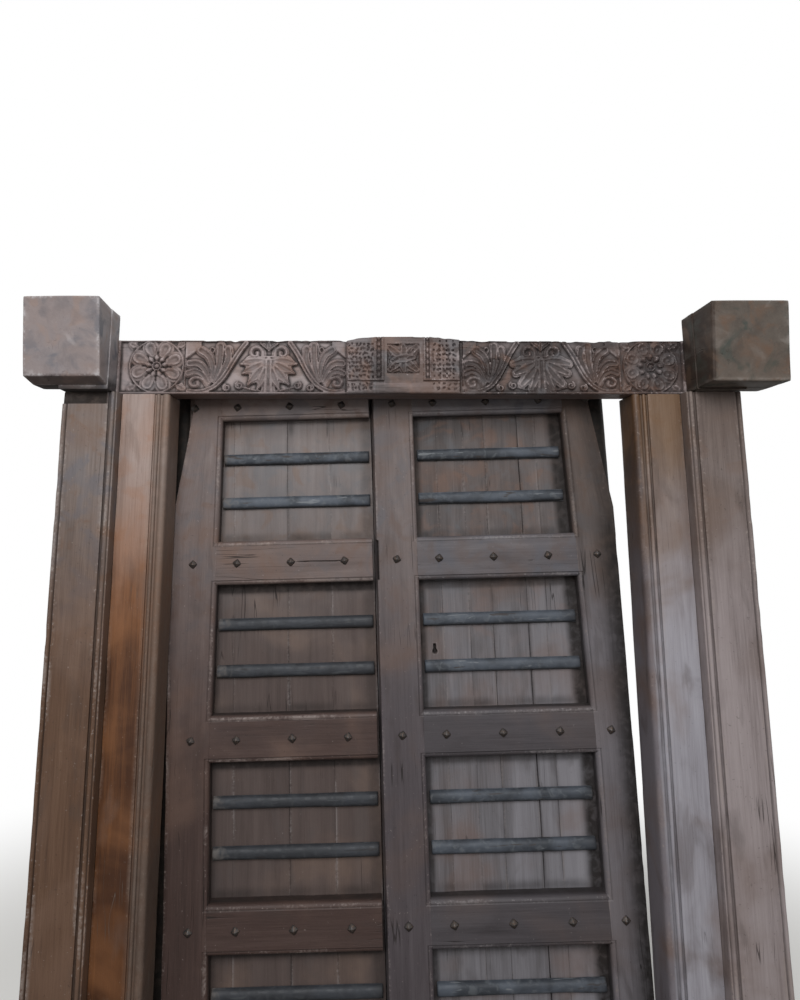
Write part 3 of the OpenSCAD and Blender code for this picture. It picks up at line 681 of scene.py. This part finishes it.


# How far each point stands out from its surroundings tells the crests from the hollows: the crests are
# lightened as rubbed wood and painted highlight, the hollows darkened as dirt and painted shade
stand = carved - spread(spread(carved, 3), 2)
crown = LINTEL_H + (BLOCK_TOP - LINTEL_H) * step(np.abs(along_x - BLOCK_X), BLOCK_HALF + 4, BLOCK_HALF - 76)
nibbled = 2.2 * np.clip(waver(along_x, 0 * along_x, 38, 8) + 0.5 * waver(along_x, 0 * along_x, 13, 9), 0, 1.2)
crown = (crown - nibbled - 1.5 * step(along_x, 100, 300))[:, None]
# The front's rows follow the uneven crown, so the carving is read between the grid's own rows
front_h = up_h / up_h[-1] * crown
row = front_h / up_h[1]
below = np.minimum(row.astype(int), len(up_h) - 2)
column = np.arange(len(along_x))[:, None]
carved, stand = (f[column, below] * (1 + below - row) + f[column, below + 1] * (row - below)
                 for f in (carved, stand))
front_y = GROUND - carved + 3 * (np.exp(-front_h / 2) + np.exp(-(crown - front_h) / 2.2))
one = np.ones_like(crown)
back_y = 4 + (LINTEL_D - 4) * np.array([0.12, 0.3, 0.55, 0.8, 0.97, 1])
ring_y = np.hstack([front_y, one * back_y, one * np.full(10, LINTEL_D), one * back_y[::-1]])
ring_h = np.hstack([front_h, crown - [0, 0, 0, 0, 0.5, 2], crown - 5, crown * np.linspace(0.9, 0.1, 9),
                    one * [2, 0.5, 0, 0, 0, 0]])
ring_x = along_x[:, None] + 0 * ring_y
front_x = ring_x[:, :len(up_h)]
flat_ground = step(carved, 3, 1.5) * step(np.abs(stand), 2, 0.5)
dim = step(front_x, -230, -60)
crests = np.clip(stand / 1.6, 0, 1)
hollows = np.clip(0.5 * np.exp(-front_h / 4) + (1 - 0.3 * dim) * np.clip(-stand / 2.4, 0, 1), 0, 1)
tint = 0.3 * flat_ground + 0.17 - 0.50 * dim - 0.44 * step(front_x, 120, 320)
rest = np.zeros((len(along_x), ring_y.shape[1] - len(up_h)))
lintel_wear = [np.hstack([front, rest + plain]) for front, plain in ((crests, 0.2), (hollows, 0), (tint, 0))]
lintel_wood = old_wood("lintel_wood", (57, 49, 48), (112, 100, 99), (144, 132, 131), (164, 152, 151),
                       (36, 30, 29), (112, 86, 74), gloss=0.5, cool=(98, 97, 100))
shell("carved_lintel_beam", np.stack([ring_x, ring_y, 1000 * LINTEL_FOOT + ring_h], -1) / 1000,
      figure(ring_y / 1000, ring_h / 1000, ring_x / 1000, 90), np.stack(lintel_wear, -1), lintel_wood,
      "frame", "lintel_wood", "carved_lintel")

# Corner blocks: a hewn end of timber on the front of each lintel end, whose front leans forward, with a
# collar at its back that is a few millimetres larger and rests on the jambs. A hidden tenon holds it.

BLOCK_WOODS = {
    "left_corner_block": old_wood(
        "left_block_wood", (92, 86, 88), (126, 119, 120), (140, 134, 135), (172, 168, 169), (44, 40, 39),
        (136, 120, 114), dust=0.6, gloss=0.6, figured=0.5, coarse=0.4, cool=(98, 100, 107), clouds=0.95,
        chips=0.9),
    "right_corner_block": old_wood(
        "right_block_wood", (44, 36, 31), (82, 74, 67), (98, 90, 83), (126, 120, 115), (37, 23, 14),
        (92, 73, 60), dust=0.5, figured=0.5, coarse=0.45, cool=(54, 60, 55), clouds=0.95, chips=0.6),
}
# Depth and height of each block's front foot, and the heights of its foot and top at the collar; then the
# tint of the side towards the lintel (painted light on the left block, a dark stain on the right one), the
# tint of the under side (painted shade on the left block, painted light on the right one), and how soiled
# the former is
BLOCK_SHAPES = {"left_corner_block": (0.113, 1.972, 1.960, 2.170),
                "right_corner_block": (0.140, 1.954, 1.954, 2.158)}
BLOCK_LIGHT_AND_STAIN = {"left_corner_block": (0.95, -0.4, 0), "right_corner_block": (-0.6, 0.9, 0.65)}
COLLAR, COLLAR_STEP, COLLAR_EASE, JAMB_OUT = 0.060, 0.0025, 0.0012, 0.899
for number, (name, finish) in enumerate(BLOCK_WOODS.items()):
    lo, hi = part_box(name)
    side = -1 if lo.x < 0 else 1
    inner, outer = sorted((abs(lo.x), abs(hi.x)))
    inner += COLLAR_STEP
    foot_depth, front_foot, back_foot, back_top = BLOCK_SHAPES[name]
    tall = hi.z - front_foot
    seed = 100 + 10 * number
    past_jamb = JAMB_OUT - inner + np.array([-0.0004, 0.0004])
    cross = section(box_section(inner, outer, 0, tall), 0.0035, 0.012, past_jamb)
    stops = stations(lo.y, -0.0005, 0.011, (-COLLAR - COLLAR_EASE, -COLLAR, -COLLAR + 0.0015))
    p, h, s, wear = timber(cross, stops, seed, 0.004, 0.0022, 0.0045)
    # The front face: the first ring drawn in towards the middle, a little uneven
    draw = np.array([0.03, 0.2, 0.4, 0.6, 0.76, 0.88, 0.95, 0.985])[:, None]
    middle_p, middle_h = (inner + outer) / 2, tall / 2
    p = np.vstack([middle_p + (p[0] - middle_p) * draw, p])
    h = np.vstack([middle_h + (h[0] - middle_h) * draw, h])
    face_p, face_h = p[:len(draw)], h[:len(draw)]
    s = np.vstack([lo.y + 0.0016 * (1 - draw ** 6) * (1 + waver(face_p, face_h, 0.05, seed + 5)), s])
    wear = np.vstack([np.stack(np.broadcast_arrays(0.8 * draw ** 30, 0 * draw, 0 * face_p), -1), wear])
    share = np.clip((s - lo.y) / (-COLLAR - lo.y), 0, 1)
    front = -foot_depth + (lo.y + foot_depth) * h / tall
    y = np.where(s < -COLLAR, front + share * (-COLLAR - front), s)
    foot, top = front_foot + (back_foot - front_foot) * share, hi.z + (back_top - hi.z) * share
    on_collar = step(s, -COLLAR - COLLAR_EASE, -COLLAR)
    inner_side, under = step(p, inner + 0.012, inner + 0.004), step(h, 0.012, 0.004)
    side_light_and_stain, under_light_and_shade, side_soil = BLOCK_LIGHT_AND_STAIN[name]
    # Painted shade: the band named shaded, at the collar, is darkened. The right block's under side is also
    # lightened with the rubbed tone as painted light.
    if side < 0:
        shaded = 0.9 * on_collar * step(h, 0.03, 0.012)
        wear[..., 0] = np.maximum(wear[..., 0], bell(s + COLLAR, 0.004)) * (1 - shaded)
    else:
        shaded = bell(s + COLLAR, 0.005)
        wear[..., 0] = np.maximum(wear[..., 0] * (1 - 0.8 * inner_side) * (1 - shaded), 0.8 * under)
    add_dirt_and_shade(wear, np.maximum(side_soil * inner_side, shaded))
    wear[..., 2] += side_light_and_stain * inner_side + under_light_and_shade * under
    dropped = on_collar * (back_foot - LINTEL_FOOT) * step(h, 0.02, 0) * (p < JAMB_OUT)
    z = foot + (top - foot) * h / tall - dropped
    p = p - on_collar * COLLAR_STEP * step(p, inner + 0.02, inner)
    shell(name + "_timber", np.stack([side * p, y, z], -1), figure(p, z, y, 40 + number), wear, finish,
          "frame", "block_wood", name)

# Leaf frames: each leaf hangs a little to the left of plumb. Its hinge stile is cut back at the upper
# corner, and the edges round the panels carry an ovolo below a narrow quirk, mitred where stile and rail
# meet. The right leaf also carries the broad meeting stile, whose left edge is bevelled and notched.

hinge = frame["joints"][0]["axis"]
lean_sin, lean_cos = -hinge[0], hinge[2]
LEAF_FOOT = 0.075


def on_leaf(u, v, w):
    """Leaf coordinates, across, deep and up the leaning leaf, as places in the door's frame."""
    x, z = u * lean_cos - w * lean_sin, LEAF_FOOT + u * lean_sin + w * lean_cos
    return np.stack(np.broadcast_arrays(x, v, z), -1)


def leaf_points(node):
    """Across, deep and up of all points of a leaf's CAD solid, in leaf coordinates."""
    mesh = frame["nodes"][node].data
    flat = np.empty(3 * len(mesh.vertices), np.float32)
    mesh.vertices.foreach_get("co", flat)
    x, y, z = flat.reshape(-1, 3).T.astype(float)
    return x * lean_cos + (z - LEAF_FOOT) * lean_sin, y, (z - LEAF_FOOT) * lean_cos - x * lean_sin


def extent(node):
    """Least and most across, deep and up of a leaf's CAD solid. Across and up are taken from its back
    face, where no tenon stands out."""
    u, v, w = leaf_points(node)
    back = v > v.max() - 0.0005
    return u[back].min(), u[back].max(), v.min(), v.max(), w[back].min(), w[back].max()


SIGHT_W, SIGHT_D, OVOLO_W, OVOLO_RISE, QUIRK_D = 0.013, 0.015, 0.0105, 0.0125, 0.003


def sight(off):
    """Depth of the panel moulding at a distance from the panel's edge: an ovolo that is 15 mm deep at
    the edge, a narrow quirk at its back, and then the plain face."""
    turn = 1 - np.clip(off / OVOLO_W, 0, 1)
    ovolo = SIGHT_D - OVOLO_RISE * np.sqrt(1 - turn ** 2)
    return np.where(off < OVOLO_W, ovolo, QUIRK_D * step(off, SIGHT_W + 0.0006, SIGHT_W - 0.0004))


RAILS = ("bottom_rail", "lower_mid_rail", "centre_mid_rail", "upper_mid_rail", "top_rail")
rail_box = {side: [extent(f"{side}_{rail}") for rail in RAILS] for side in ("left", "right")}
panels = {side: [(a[5], b[4]) for a, b in zip(boxes, boxes[1:])] for side, boxes in rail_box.items()}
FRONT, BACK = rail_box["left"][0][2], rail_box["left"][0][3]
LEAF_LOW, LEAF_TOP = rail_box["left"][0][4], rail_box["left"][4][5]
leaf_wood = {
    "left": old_wood(
        "left_leaf_wood", (60, 51, 49), (104, 93, 91), (126, 114, 111), (156, 144, 139), (30, 25, 23),
        (104, 82, 71), (0.9, 1.75, (36, 27, 24), (66, 51, 47), (86, 70, 65)), dust=0.2, coarse=0.6,
        cool=(92, 91, 95)),
    "right": old_wood(
        "right_leaf_wood", (55, 48, 46), (97, 88, 87), (118, 108, 106), (152, 142, 139), (30, 25, 23),
        (98, 79, 70), (0.9, 1.75, (40, 35, 37), (71, 65, 68), (91, 85, 88)), dust=0.2, coarse=0.6,
        cool=(90, 90, 95)),
    # The low tones of this stile, paler and greyer towards its foot, are a painted sheen of reflected light.
    "right_hinge": old_wood(
        "right_hinge_stile_wood", (44, 37, 34), (78, 68, 64), (97, 86, 81), (132, 120, 114), (18, 14, 12),
        (84, 67, 58), (1.22, 1.62, (56, 53, 56), (102, 98, 102), (120, 116, 120)), dust=0.12, coarse=0.6,
        cool=(74, 72, 74)),
}
rail_wood = {"left": leaf_wood["left"], "right": old_wood(
    "right_rail_wood", (52, 48, 50), (92, 88, 91), (112, 108, 111), (148, 143, 143), (30, 26, 25),
    (92, 78, 73), (0.9, 1.75, (38, 35, 37), (70, 66, 69), (90, 86, 89)), dust=0.2, coarse=0.5,
    cool=(86, 88, 96))}
fine = np.arange(0, 0.0165, 0.0013)


def panel_rows(side, outward):
    """Heights at these distances outward from the foot and the top of each panel of that leaf."""
    return np.concatenate([np.concatenate([a - outward, b + outward]) for a, b in panels[side]])


def past_panel(side, w):
    """How far a height lies above or below the nearest panel of that leaf, and 0 beside it."""
    return np.min([np.maximum(np.maximum(a - w, w - b), 0) for a, b in panels[side]], 0)


left_outer, left_inner = extent("left_hinge_stile")[:2]
right_inner, right_outer = extent("right_hinge_stile")[:2]
meeting_edge, meeting_inner = extent("right_meeting_stile")[:2]
TAPER, TAPER_W, TAPER_FOOT, EDGE_KEPT = 0.030, 1.400, 0.900, 0.03
CORNER_CUT = {"left": (0.067, 0.380), "right": (0.056, 0.350)}


def inner_at(side, w):
    """Where the inner edge of a hinge stile stands at a height: it runs outward on its way down by 30 mm
    a metre, and is straight below the middle of the leaf."""
    outward = TAPER * (TAPER_W - np.maximum(w, TAPER_FOOT))
    return left_inner - outward if side == "left" else right_inner + outward


def corner_cut(side, w):
    """How far the cut at the upper corner takes the outer edge of a hinge stile inward at a height."""
    across, down = CORNER_CUT[side]
    return across * np.clip((w - LEAF_TOP + down) / down, 0, 1)


def soil_and_shade_moulding(wear, depth, v, beside, off):
    """Rubs the crest of the panel moulding, and darkens its quirk and the square side behind it with dirt and
    painted shade.
    """
    crest = bell(depth - 0.004, 0.0018) * (v < 0.02)
    wear[..., 0] = np.maximum(wear[..., 0] * (depth < 0.001), crest)
    add_dirt_and_shade(wear, 0.5 * bell(depth - QUIRK_D, 0.0007) * (v < 0.01) * (off > OVOLO_W))
    add_dirt_and_shade(wear, 0.8 * (v > SIGHT_D + 0.002) * beside)


def stile(name, side, seed, tint, node, finish, edge_shade=0):
    """A stile from its inner edge, which carries the moulding beside each panel, to its outer edge. A
    hinge stile tapers, has its upper corner cut and may be darkened along its outer edge with painted
    shade; the meeting stile is bevelled and notched, and its notch is darkened with painted shade."""
    hinged = "hinge" in node
    outer = {"left": left_outer, "right": right_outer}[side] if hinged else meeting_edge
    inner = inner_at(side, 0) if hinged else meeting_inner
    toward = np.sign(outer - inner)
    wide, thick = abs(outer - inner), BACK - FRONT
    cross = section(box_section(0, wide, 0, thick), 0.0015, 0.011, fine)
    stops = stations(LEAF_LOW, LEAF_TOP, 0.013, panel_rows(side, fine))
    a, v, w, wear = timber(cross, stops, seed, 0.003, 0.001, 0.003)
    depth = sight(np.maximum(np.clip(a, 0, None), past_panel(side, w)))
    soil_and_shade_moulding(wear, depth, v, (a < 0.003) & (past_panel(side, w) == 0), a)
    wear[..., 2] += tint
    v = np.maximum(v, depth)
    if hinged:
        tapered = np.clip((wide - a) / (wide - EDGE_KEPT), 0, 1)
        at_edge = step(a, wide - EDGE_KEPT - CORNER_CUT[side][0], wide - 0.002)
        u = inner + toward * (a - at_edge * corner_cut(side, w)) + tapered * (inner_at(side, w) - inner)
        # Painted shade: a dark band along the outer edge, as on a rounded edge turned away from the light.
        add_dirt_and_shade(wear, edge_shade * step(a, wide - 0.066, wide - 0.008) * (0.5 + 0.5 * step(w, 1.62, 1.42)))
    else:
        bevel, notch_in, notch_back = 0.0055, 0.010, 0.012
        notch_foot, notch_top = rail_box[side][3][4] + 0.004, rail_box[side][3][5] - 0.006
        a = a - step(a, wide - 0.02, wide) * bevel * np.clip(1 - v / thick, 0, 1)
        bite = (w > notch_foot) & (w < notch_top) & (v < thick - notch_back) & (a > wide - notch_in)
        a = np.where(bite, wide - notch_in, a)
        # The notch is darkened as painted shade inside it.
        add_dirt_and_shade(wear, bite)
        u = inner + toward * a
    shell(name, on_leaf(u, FRONT + v, w), figure(a, v, w, seed), wear, finish, side + "_leaf", "leaf_wood",
          node)


stile("left_hinge_stile_timber", "left", 200, 0.02, "left_hinge_stile", leaf_wood["left"])
stile("right_hinge_stile_timber", "right", 210, 0, "right_hinge_stile", leaf_wood["right_hinge"], 1)
stile("meeting_stile_timber", "right", 220, 0.04, "right_meeting_stile", leaf_wood["right"])

# Rails: five on each leaf, tenoned between the stiles, with the same ovolo on each edge that faces a
# panel. The left leaf's rails stop just short of the meeting stile, and one of them has a drying crack.

CRACK_ROWS, CRACK_HALF, CRACK_DEEP = 0.0011 * np.arange(-4, 5), 0.0011, 0.005
RAIL_LAP, FREE_EDGE = 0.003, 1
for side in ("left", "right"):
    for number, (rail, (u0, u1, v0, v1, w0, w1)) in enumerate(zip(RAILS, rail_box[side])):
        high, thick = w1 - w0, v1 - v0
        cracked = side == "left" and rail == "upper_mid_rail"
        face = np.concatenate([fine, high - fine, high / 2 + CRACK_ROWS if cracked else ()])
        cross = section(box_section(0, high, 0, thick), 0.0015, 0.011, face)
        seed = 240 + 10 * number + (side == "right")
        b, v, u, wear = timber(cross, stations(u0, u1, 0.011), seed, 0.003, 0.001, 0.0006)
        wear[..., 0] *= np.minimum(u - u0, u1 - u) > 0.003
        off = np.minimum(b if number else b + FREE_EDGE, high - b if number < 4 else high - b + FREE_EDGE)
        depth = sight(np.clip(off, 0, None))
        soil_and_shade_moulding(wear, depth, v, off < 0.003, off)
        # Painted light: the top rail is lightened, lifting the lintel's shadow on it.
        wear[..., 2] += 0.5 if rail == "top_rail" else 0
        v = np.maximum(v, depth)
        along = (u - u0) / (u1 - u0)
        if cracked:
            line = high / 2 + 0.0012 * waver(u, 0 * u, 0.03, 9)
            split = bell(b - line, CRACK_HALF) * step(along, 0.5, 0.56) * step(along, 0.81, 0.79) * (v < 0.01)
            v = v + CRACK_DEEP * split
            add_dirt_and_shade(wear, split)
        hinge_end, from_free = (u0, 1 - along) if side == "left" else (u1, along)
        outward = RAIL_LAP * np.sign(hinge_end)
        u = u + from_free * (inner_at(side, w0 + b) - hinge_end + outward)
        u = u - outward * (1 - from_free) * (side == "right")
        shell(f"{side}_{rail}_timber", on_leaf(u, v0 + v, w0 + b), figure(b, v, u, 300 + number), wear,
              rail_wood[side], side + "_leaf", "leaf_wood", f"{side}_{rail}")

# Pivot posts: a round post behind each hinge stile, flattened against the stile and the planks, whose
# ends are turned down to pins. The leaf has no iron hinges and turns on these pins alone. The left post
# has a flat lap towards the jamb.

post_wood = old_wood("post_wood", (40, 33, 29), (76, 64, 56), (98, 84, 75), (122, 108, 98), (16, 14, 12),
                     (70, 54, 44))
PIN_R, PIN_EASE, POST_R, POST_FRONT, POST_SIDE = 0.015, 0.002, 0.032, 0.030, 0.024
POST_LAP, LAP_BACK, LAP_FRONT, PIN_ROOT = {"left": 0.068, "right": 0}, 0.018, 0.014, 0.003
cut_side, cut_front = np.degrees([np.arccos(POST_SIDE / POST_R), np.arcsin(POST_FRONT / POST_R)])
turn = np.linspace(0, 2 * np.pi, 24, endpoint=False)[None, :]
for side, toward in (("left", 1), ("right", -1)):
    u, v, w = leaf_points(side + "_pivot_post")
    on_pin = w > w.max() - 0.001
    centre_u = (u[on_pin].min() + u[on_pin].max()) / 2
    centre_v = (v[on_pin].min() + v[on_pin].max()) / 2
    shoulder = w[np.abs(u - centre_u) > PIN_R + 0.004]
    foot, top = shoulder.min(), shoulder.max()
    lap = POST_LAP[side]
    if lap:
        back_turn, front_turn = np.degrees(np.arcsin([LAP_BACK / POST_R, LAP_FRONT / POST_R]))
        plan = arc((0, 0), POST_R, cut_side, 180 - back_turn, 9) + [(-lap, LAP_BACK), (-lap, -LAP_FRONT)]
        plan += arc((0, 0), POST_R, 180 + front_turn, 180 + cut_front, 6)
    else:
        plan = arc((0, 0), POST_R, cut_side, 180 + cut_front, 18)
    plan += arc((0, 0), POST_R, 360 - cut_front, 360 - cut_side, 4)
    cross = section(plan, 0.0015, 0.012)
    a, b, up, wear = timber(cross, stations(foot, top, 0.025), 330, 0.002, 0.001, 0.004)
    # Painted shade: the whole post takes the soil tone, as it stands in deep shade behind the stile.
    wear[..., 1] = 1
    parts = [(a, b, up, wear)]
    for start, end in ((w.min(), foot + PIN_ROOT), (top - PIN_ROOT, w.max())):
        tall = np.array([start, start + PIN_EASE, end - PIN_EASE, end])[:, None]
        thin = PIN_R - np.array([PIN_EASE, 0, 0, PIN_EASE])[:, None]
        pin = (thin * np.cos(turn), thin * np.sin(turn), tall + 0 * turn)
        parts.append((*pin, 0 * np.stack(pin, -1)))
    at = [on_leaf(centre_u + toward * a, centre_v + b, up) for a, b, up, _ in parts]
    shell(side + "_pivot_post_round", at, [figure(a, b, up, 340) for a, b, up, _ in parts],
          [part[3] for part in parts], post_wood, side + "_leaf", "post_wood", side + "_pivot_post")

# Planks: upright boards nailed to the back of the leaf frame, sawn to different widths. Dirt lies in their
# joints and above the rails, dirt and painted shade lie along the stiles, a dark band runs below the rails,
# and their backs meet. The right leaf's first board has an old keyhole, darkened inside with painted shade.

plank_wood = {
    "left": old_wood(
        "left_plank_wood", (76, 70, 69), (116, 109, 108), (134, 127, 126), (152, 145, 144), (30, 25, 24),
        (118, 98, 86), (1.2, 1.8, (42, 35, 32), (77, 66, 63), (95, 83, 79)), dust=0.2, gloss=0.62,
        coarse=0.5, cool=(104, 106, 110)),
    # The low tones of these boards, paler and bluish towards the foot, are a painted sheen of reflected
    # light.
    "right": old_wood(
        "right_plank_wood", (58, 53, 52), (93, 86, 85), (112, 105, 103), (138, 130, 128), (24, 19, 17),
        (108, 84, 72), (1.0, 1.7, (80, 77, 79), (123, 121, 126), (142, 140, 145)), dust=0.2, gloss=0.6,
        coarse=0.5, cool=(86, 88, 92)),
}
KEYHOLE_U, KEYHOLE_W, KNOT_U, KNOT_W = 0.126, 1.177, -0.268, 1.812
KEYHOLE_R, KEYHOLE_HALF, KEYHOLE_TALL, KEYHOLE_DEEP = 0.006, 0.003, 0.02, 0.016
# Darkening on the boards: dirt at each joint from the left; along the hinge side dirt and painted shade, and
# along the free side painted shadow of the meeting stile and dirt, of the panels as a share and a width; and
# a dark band below the rails
JOINT_SOIL = {"left": (0.12, 0.55, 0.12), "right": (0.25, 0.3, 0.5, 0.8, 0.35)}
HINGE_DIRT_AND_SHADE = {"left": (0.35, 0.014), "right": (1.0, 0.044)}
FREE_SHADOW_AND_DIRT = {"left": (0.45, 0.036), "right": (0.8, 0.024)}
BELOW_RAIL_DARK = {"left": 0.9, "right": 0.5}
JOINT, EDGE_EASE, EDGE_RUB, SIDE_WAVER = 0.0012, 0.0005, 0.0005, 0.0016
near_edge = np.array([0.003, 0.007, 0.012, 0.018, 0.024, 0.030, 0.037])
for side, count, shade in (("left", 4, 0.0), ("right", 6, -0.08)):
    free = rail_box[side][0][1 if side == "left" else 0]
    edge_low, edge_top = inner_at(side, LEAF_LOW), inner_at(side, LEAF_TOP)
    grimy_rows = panel_rows(side, -near_edge)
    grimy_columns = np.arange(min(edge_low, edge_top) - 0.05, max(edge_low, edge_top) + 0.05, 0.006)
    for number in range(1, count + 1):
        name = f"{side}_plank_{number}"
        u0, u1, v0, v1, w0, w1 = extent(name)
        before, after = (0, *JOINT_SOIL[side], 0)[number - 1:number + 1]
        u0 -= (JOINT / 2 + SIDE_WAVER * (1 - before)) * (number > 1)
        u1 += (JOINT / 2 + SIDE_WAVER * (1 - after)) * (number < count)
        keyed = name == "right_plank_1"
        columns = np.concatenate([grimy_columns, free + near_edge, free - near_edge, u0 + near_edge,
                                  u1 - near_edge,
                                  KEYHOLE_U + np.arange(-0.012, 0.0125, 0.0015) if keyed else ()])
        columns = columns[(columns > u0) & (columns < u1)] - u0
        rows = np.concatenate([grimy_rows, KEYHOLE_W + np.arange(-0.012, 0.026, 0.0015) if keyed else ()])
        cross = section(box_section(u0, u1, v0, v1), EDGE_EASE, 0.016, columns)
        seed = 400 + 10 * number + (side == "right")
        u, v, w, wear = timber(cross, stations(w0, w1, 0.018, rows), seed, EDGE_RUB, SIDE_WAVER, 0.003)
        wear[..., 2] += shade + 0.10 * np.random.default_rng(seed).uniform(-1, 1)
        above_rail = np.min([np.where(w > a, w - a, 1) for a, b in panels[side]], 0)
        below_rail = np.min([np.where(w < b, b - w, 1) for a, b in panels[side][:3]], 0)
        smear = 0.6 + 0.4 * waver(u, w, 0.05, seed + 7)
        grime_and_shade = [0.65 * step(above_rail, 0.028, 0.006) * smear,
                 BELOW_RAIL_DARK[side] * step(below_rail, 0.034, 0.022),
                 0.7 * bell(u - KNOT_U, 0.008) * bell(w - KNOT_W, 0.02)]
        # Along the hinge and free sides the boards are darkened with dirt and painted shade.
        for (share, wide), off in ((HINGE_DIRT_AND_SHADE[side], u - inner_at(side, w)), (FREE_SHADOW_AND_DIRT[side], u - free)):
            grime_and_shade.append(share * step(np.abs(off), wide, 0.45 * wide))
        for share, off in ((before, u - u0), (after, u1 - u)):
            grime_and_shade.append(share * smear * bell(off, 0.005))
        add_dirt_and_shade(wear, np.max(grime_and_shade, 0) * (v < v0 + 0.006))
        behind = v > v0 + 0.008
        last_left = side == "left" and number == count
        u = np.where(behind & (u < u0 + 0.005), u0, u)
        u = np.where(behind & (u > u1 - 0.005), u1 + JOINT * last_left, u)
        if keyed:
            slit = np.maximum(np.abs(u - KEYHOLE_U) - KEYHOLE_HALF,
                              np.maximum(KEYHOLE_W - w, w - KEYHOLE_W - KEYHOLE_TALL))
            hole = np.minimum(np.hypot(u - KEYHOLE_U, w - KEYHOLE_W) - KEYHOLE_R, slit)
            sunk = step(hole, 0.0012, -0.0006) * (v < v0 + 0.004)
            v = v + KEYHOLE_DEEP * sunk
            wear[..., 0] = np.maximum(wear[..., 0], bell(hole - 0.003, 0.0015) * (v < v0 + 0.004))
            # The sunk keyhole is darkened inside as painted shade.
            add_dirt_and_shade(wear, sunk)
        shell(name + "_board", on_leaf(u, v, w), figure(u, v, w, seed), wear, plank_wood[side],
              side + "_leaf", "plank_wood", name)

# Bars: half-round rods across the panels, two to each, nailed to the planks. They are painted a dark blue
# grey, with chips down to a pale undercoat and to the bare wood.

# The paint's second share darkens it as painted shade, under each bar and at its right end.
bar_paint, place, grain, (bare, bar_shade, dull) = new_finish("bar_paint")
cloud, flake, scuff = noise(place, 11, 4, 0.5), noise(grain, 90, 5, 0.5, 0.15), noise(place, 60, 4, 0.5)
colour = coats(over(rise(cloud, 0.36, 0.66), tone(54, 58, 64), tone(80, 86, 95)),
               (rise(scuff, 0.5, 0.7) * 0.45, (108, 112, 116)),
               (rise(flake, 0.64, 0.7) * 0.5, (136, 140, 143)),
               (rise(flake, 0.38, 0.32) * 0.8, (56, 49, 46)), (dull, (44, 45, 48)),
               (rise(bare + (scuff - 0.5) * 1.1, 0.25, 0.85) * 0.8, (98, 93, 90)),
               (bar_shade * 0.7, (36, 33, 32)))
skin(colour, 0.52 + 0.22 * rise(scuff, 0.35, 0.7), flake * 0.6 + scuff * 0.6 + cloud * 0.4, 0.6, 0.003,
     {"Specular IOR Level": 0.3})
FLATTENED = 0.8
half_turn = np.radians(np.linspace(180, 360, 17))
across, out = np.cos(half_turn), np.abs(np.sin(half_turn))
half_round = np.stack([np.sign(across) * np.abs(across) ** FLATTENED, -out ** FLATTENED], -1)
for side in ("left", "right"):
    for number in range(1, 9):
        name = f"{side}_bar_{number}"
        u0, u1, v0, v1, w0, w1 = extent(name)
        radius, middle = v1 - v0, (w0 + w1) / 2
        u0 += inner_at(side, middle) - left_inner if side == "left" else 0
        u1 += inner_at(side, middle) - right_inner if side == "right" else 0
        seed = 500 + 20 * number + (side == "right")
        cross = section(radius * half_round, 0.001, 0.008)
        b, v, u, wear = timber(cross, stations(u0, u1, 0.010), seed, 0.0015, 0.003, 0.005)
        if side == "left":
            wear[..., 0] = 0.75 * np.exp(-(u - u0) / 0.035)
            wear[..., 2] = 0.75 if number < 7 else 0
        else:
            wear[..., 0] = 0.3 * np.exp(-np.minimum(u - u0, u1 - u) / 0.03)
            wear[..., 2] = 0.12
        # Painted shade under each bar, and painted shadow at its right end.
        under = step(b, -0.45 * radius, -0.9 * radius)
        wear[..., 1] = np.maximum(0.7 * np.exp(-(u1 - u) / 0.020), 0.9 * under)
        shell(name + "_rod", on_leaf(u, v1 + v, middle + b), figure(b, v, u, seed), wear, bar_paint,
              side + "_leaf", "bar_paint", name)

# Studs: hand-forged iron nails with four-sided heads, driven through each rail and through both stiles
# beside it. They are nearly black, with a little rust.

iron = bpy.data.materials.new("old_iron")
rust = noise(empty_tree(iron).node("TexCoord", {}, {}, "Object"), 240, 4)
skin(over(rise(rust, 0.45, 0.65), tone(66, 63, 62), tone(84, 70, 61)), 0.4 + 0.2 * rise(rust, 0.4, 0.6), rust,
     0.5, 0.001, {"Metallic": 0.55})
HEAD_R, HEAD_H, SQUARENESS = 0.0122, 0.0085, 1.2
four_sided = 1 / (np.abs(np.cos(turn)) ** SQUARENESS + np.abs(np.sin(turn)) ** SQUARENESS) ** (1 / SQUARENESS)
# The rings of a head from the hidden foot to the tip: how wide and how high each one is
ring_wide = HEAD_R * np.array([0.45, 0.98, 1.0, 0.95, 0.66, 0.36, 0.12, 0.02])[:, None] * four_sided
ring_high = HEAD_H * np.array([-1.4, -1.4, -0.1, 0.14, 0.46, 0.76, 0.97, 1.0])[:, None]
STUD_SHARES, TOP_STUD_W = (0.13, 0.475, 0.82), 0.037
for side, outer, inner in (("left", left_outer, left_inner), ("right", right_outer, right_inner)):
    heights = [(box[4] + box[5]) / 2 for box in rail_box[side][:4]] + [rail_box[side][4][4] + TOP_STUD_W]
    first, last = rail_box[side][0][:2]
    across = [first + (last - first) * share for share in STUD_SHARES] + [(outer + inner) / 2]
    across += [(meeting_edge + meeting_inner) / 2] if side == "right" else []
    heads = []
    for k, (u, w) in enumerate((u, w) for u in across for w in heights):
        spun = turn + np.random.default_rng(600 + k).uniform(-0.3, 0.3)
        heads.append(on_leaf(u + ring_wide * np.cos(spun), FRONT - ring_high, w + ring_wide * np.sin(spun)))
    none = [0 * h for h in heads]
    shell(side + "_studs_heads", heads, heads, none, iron, side + "_leaf", "iron", side + "_studs")
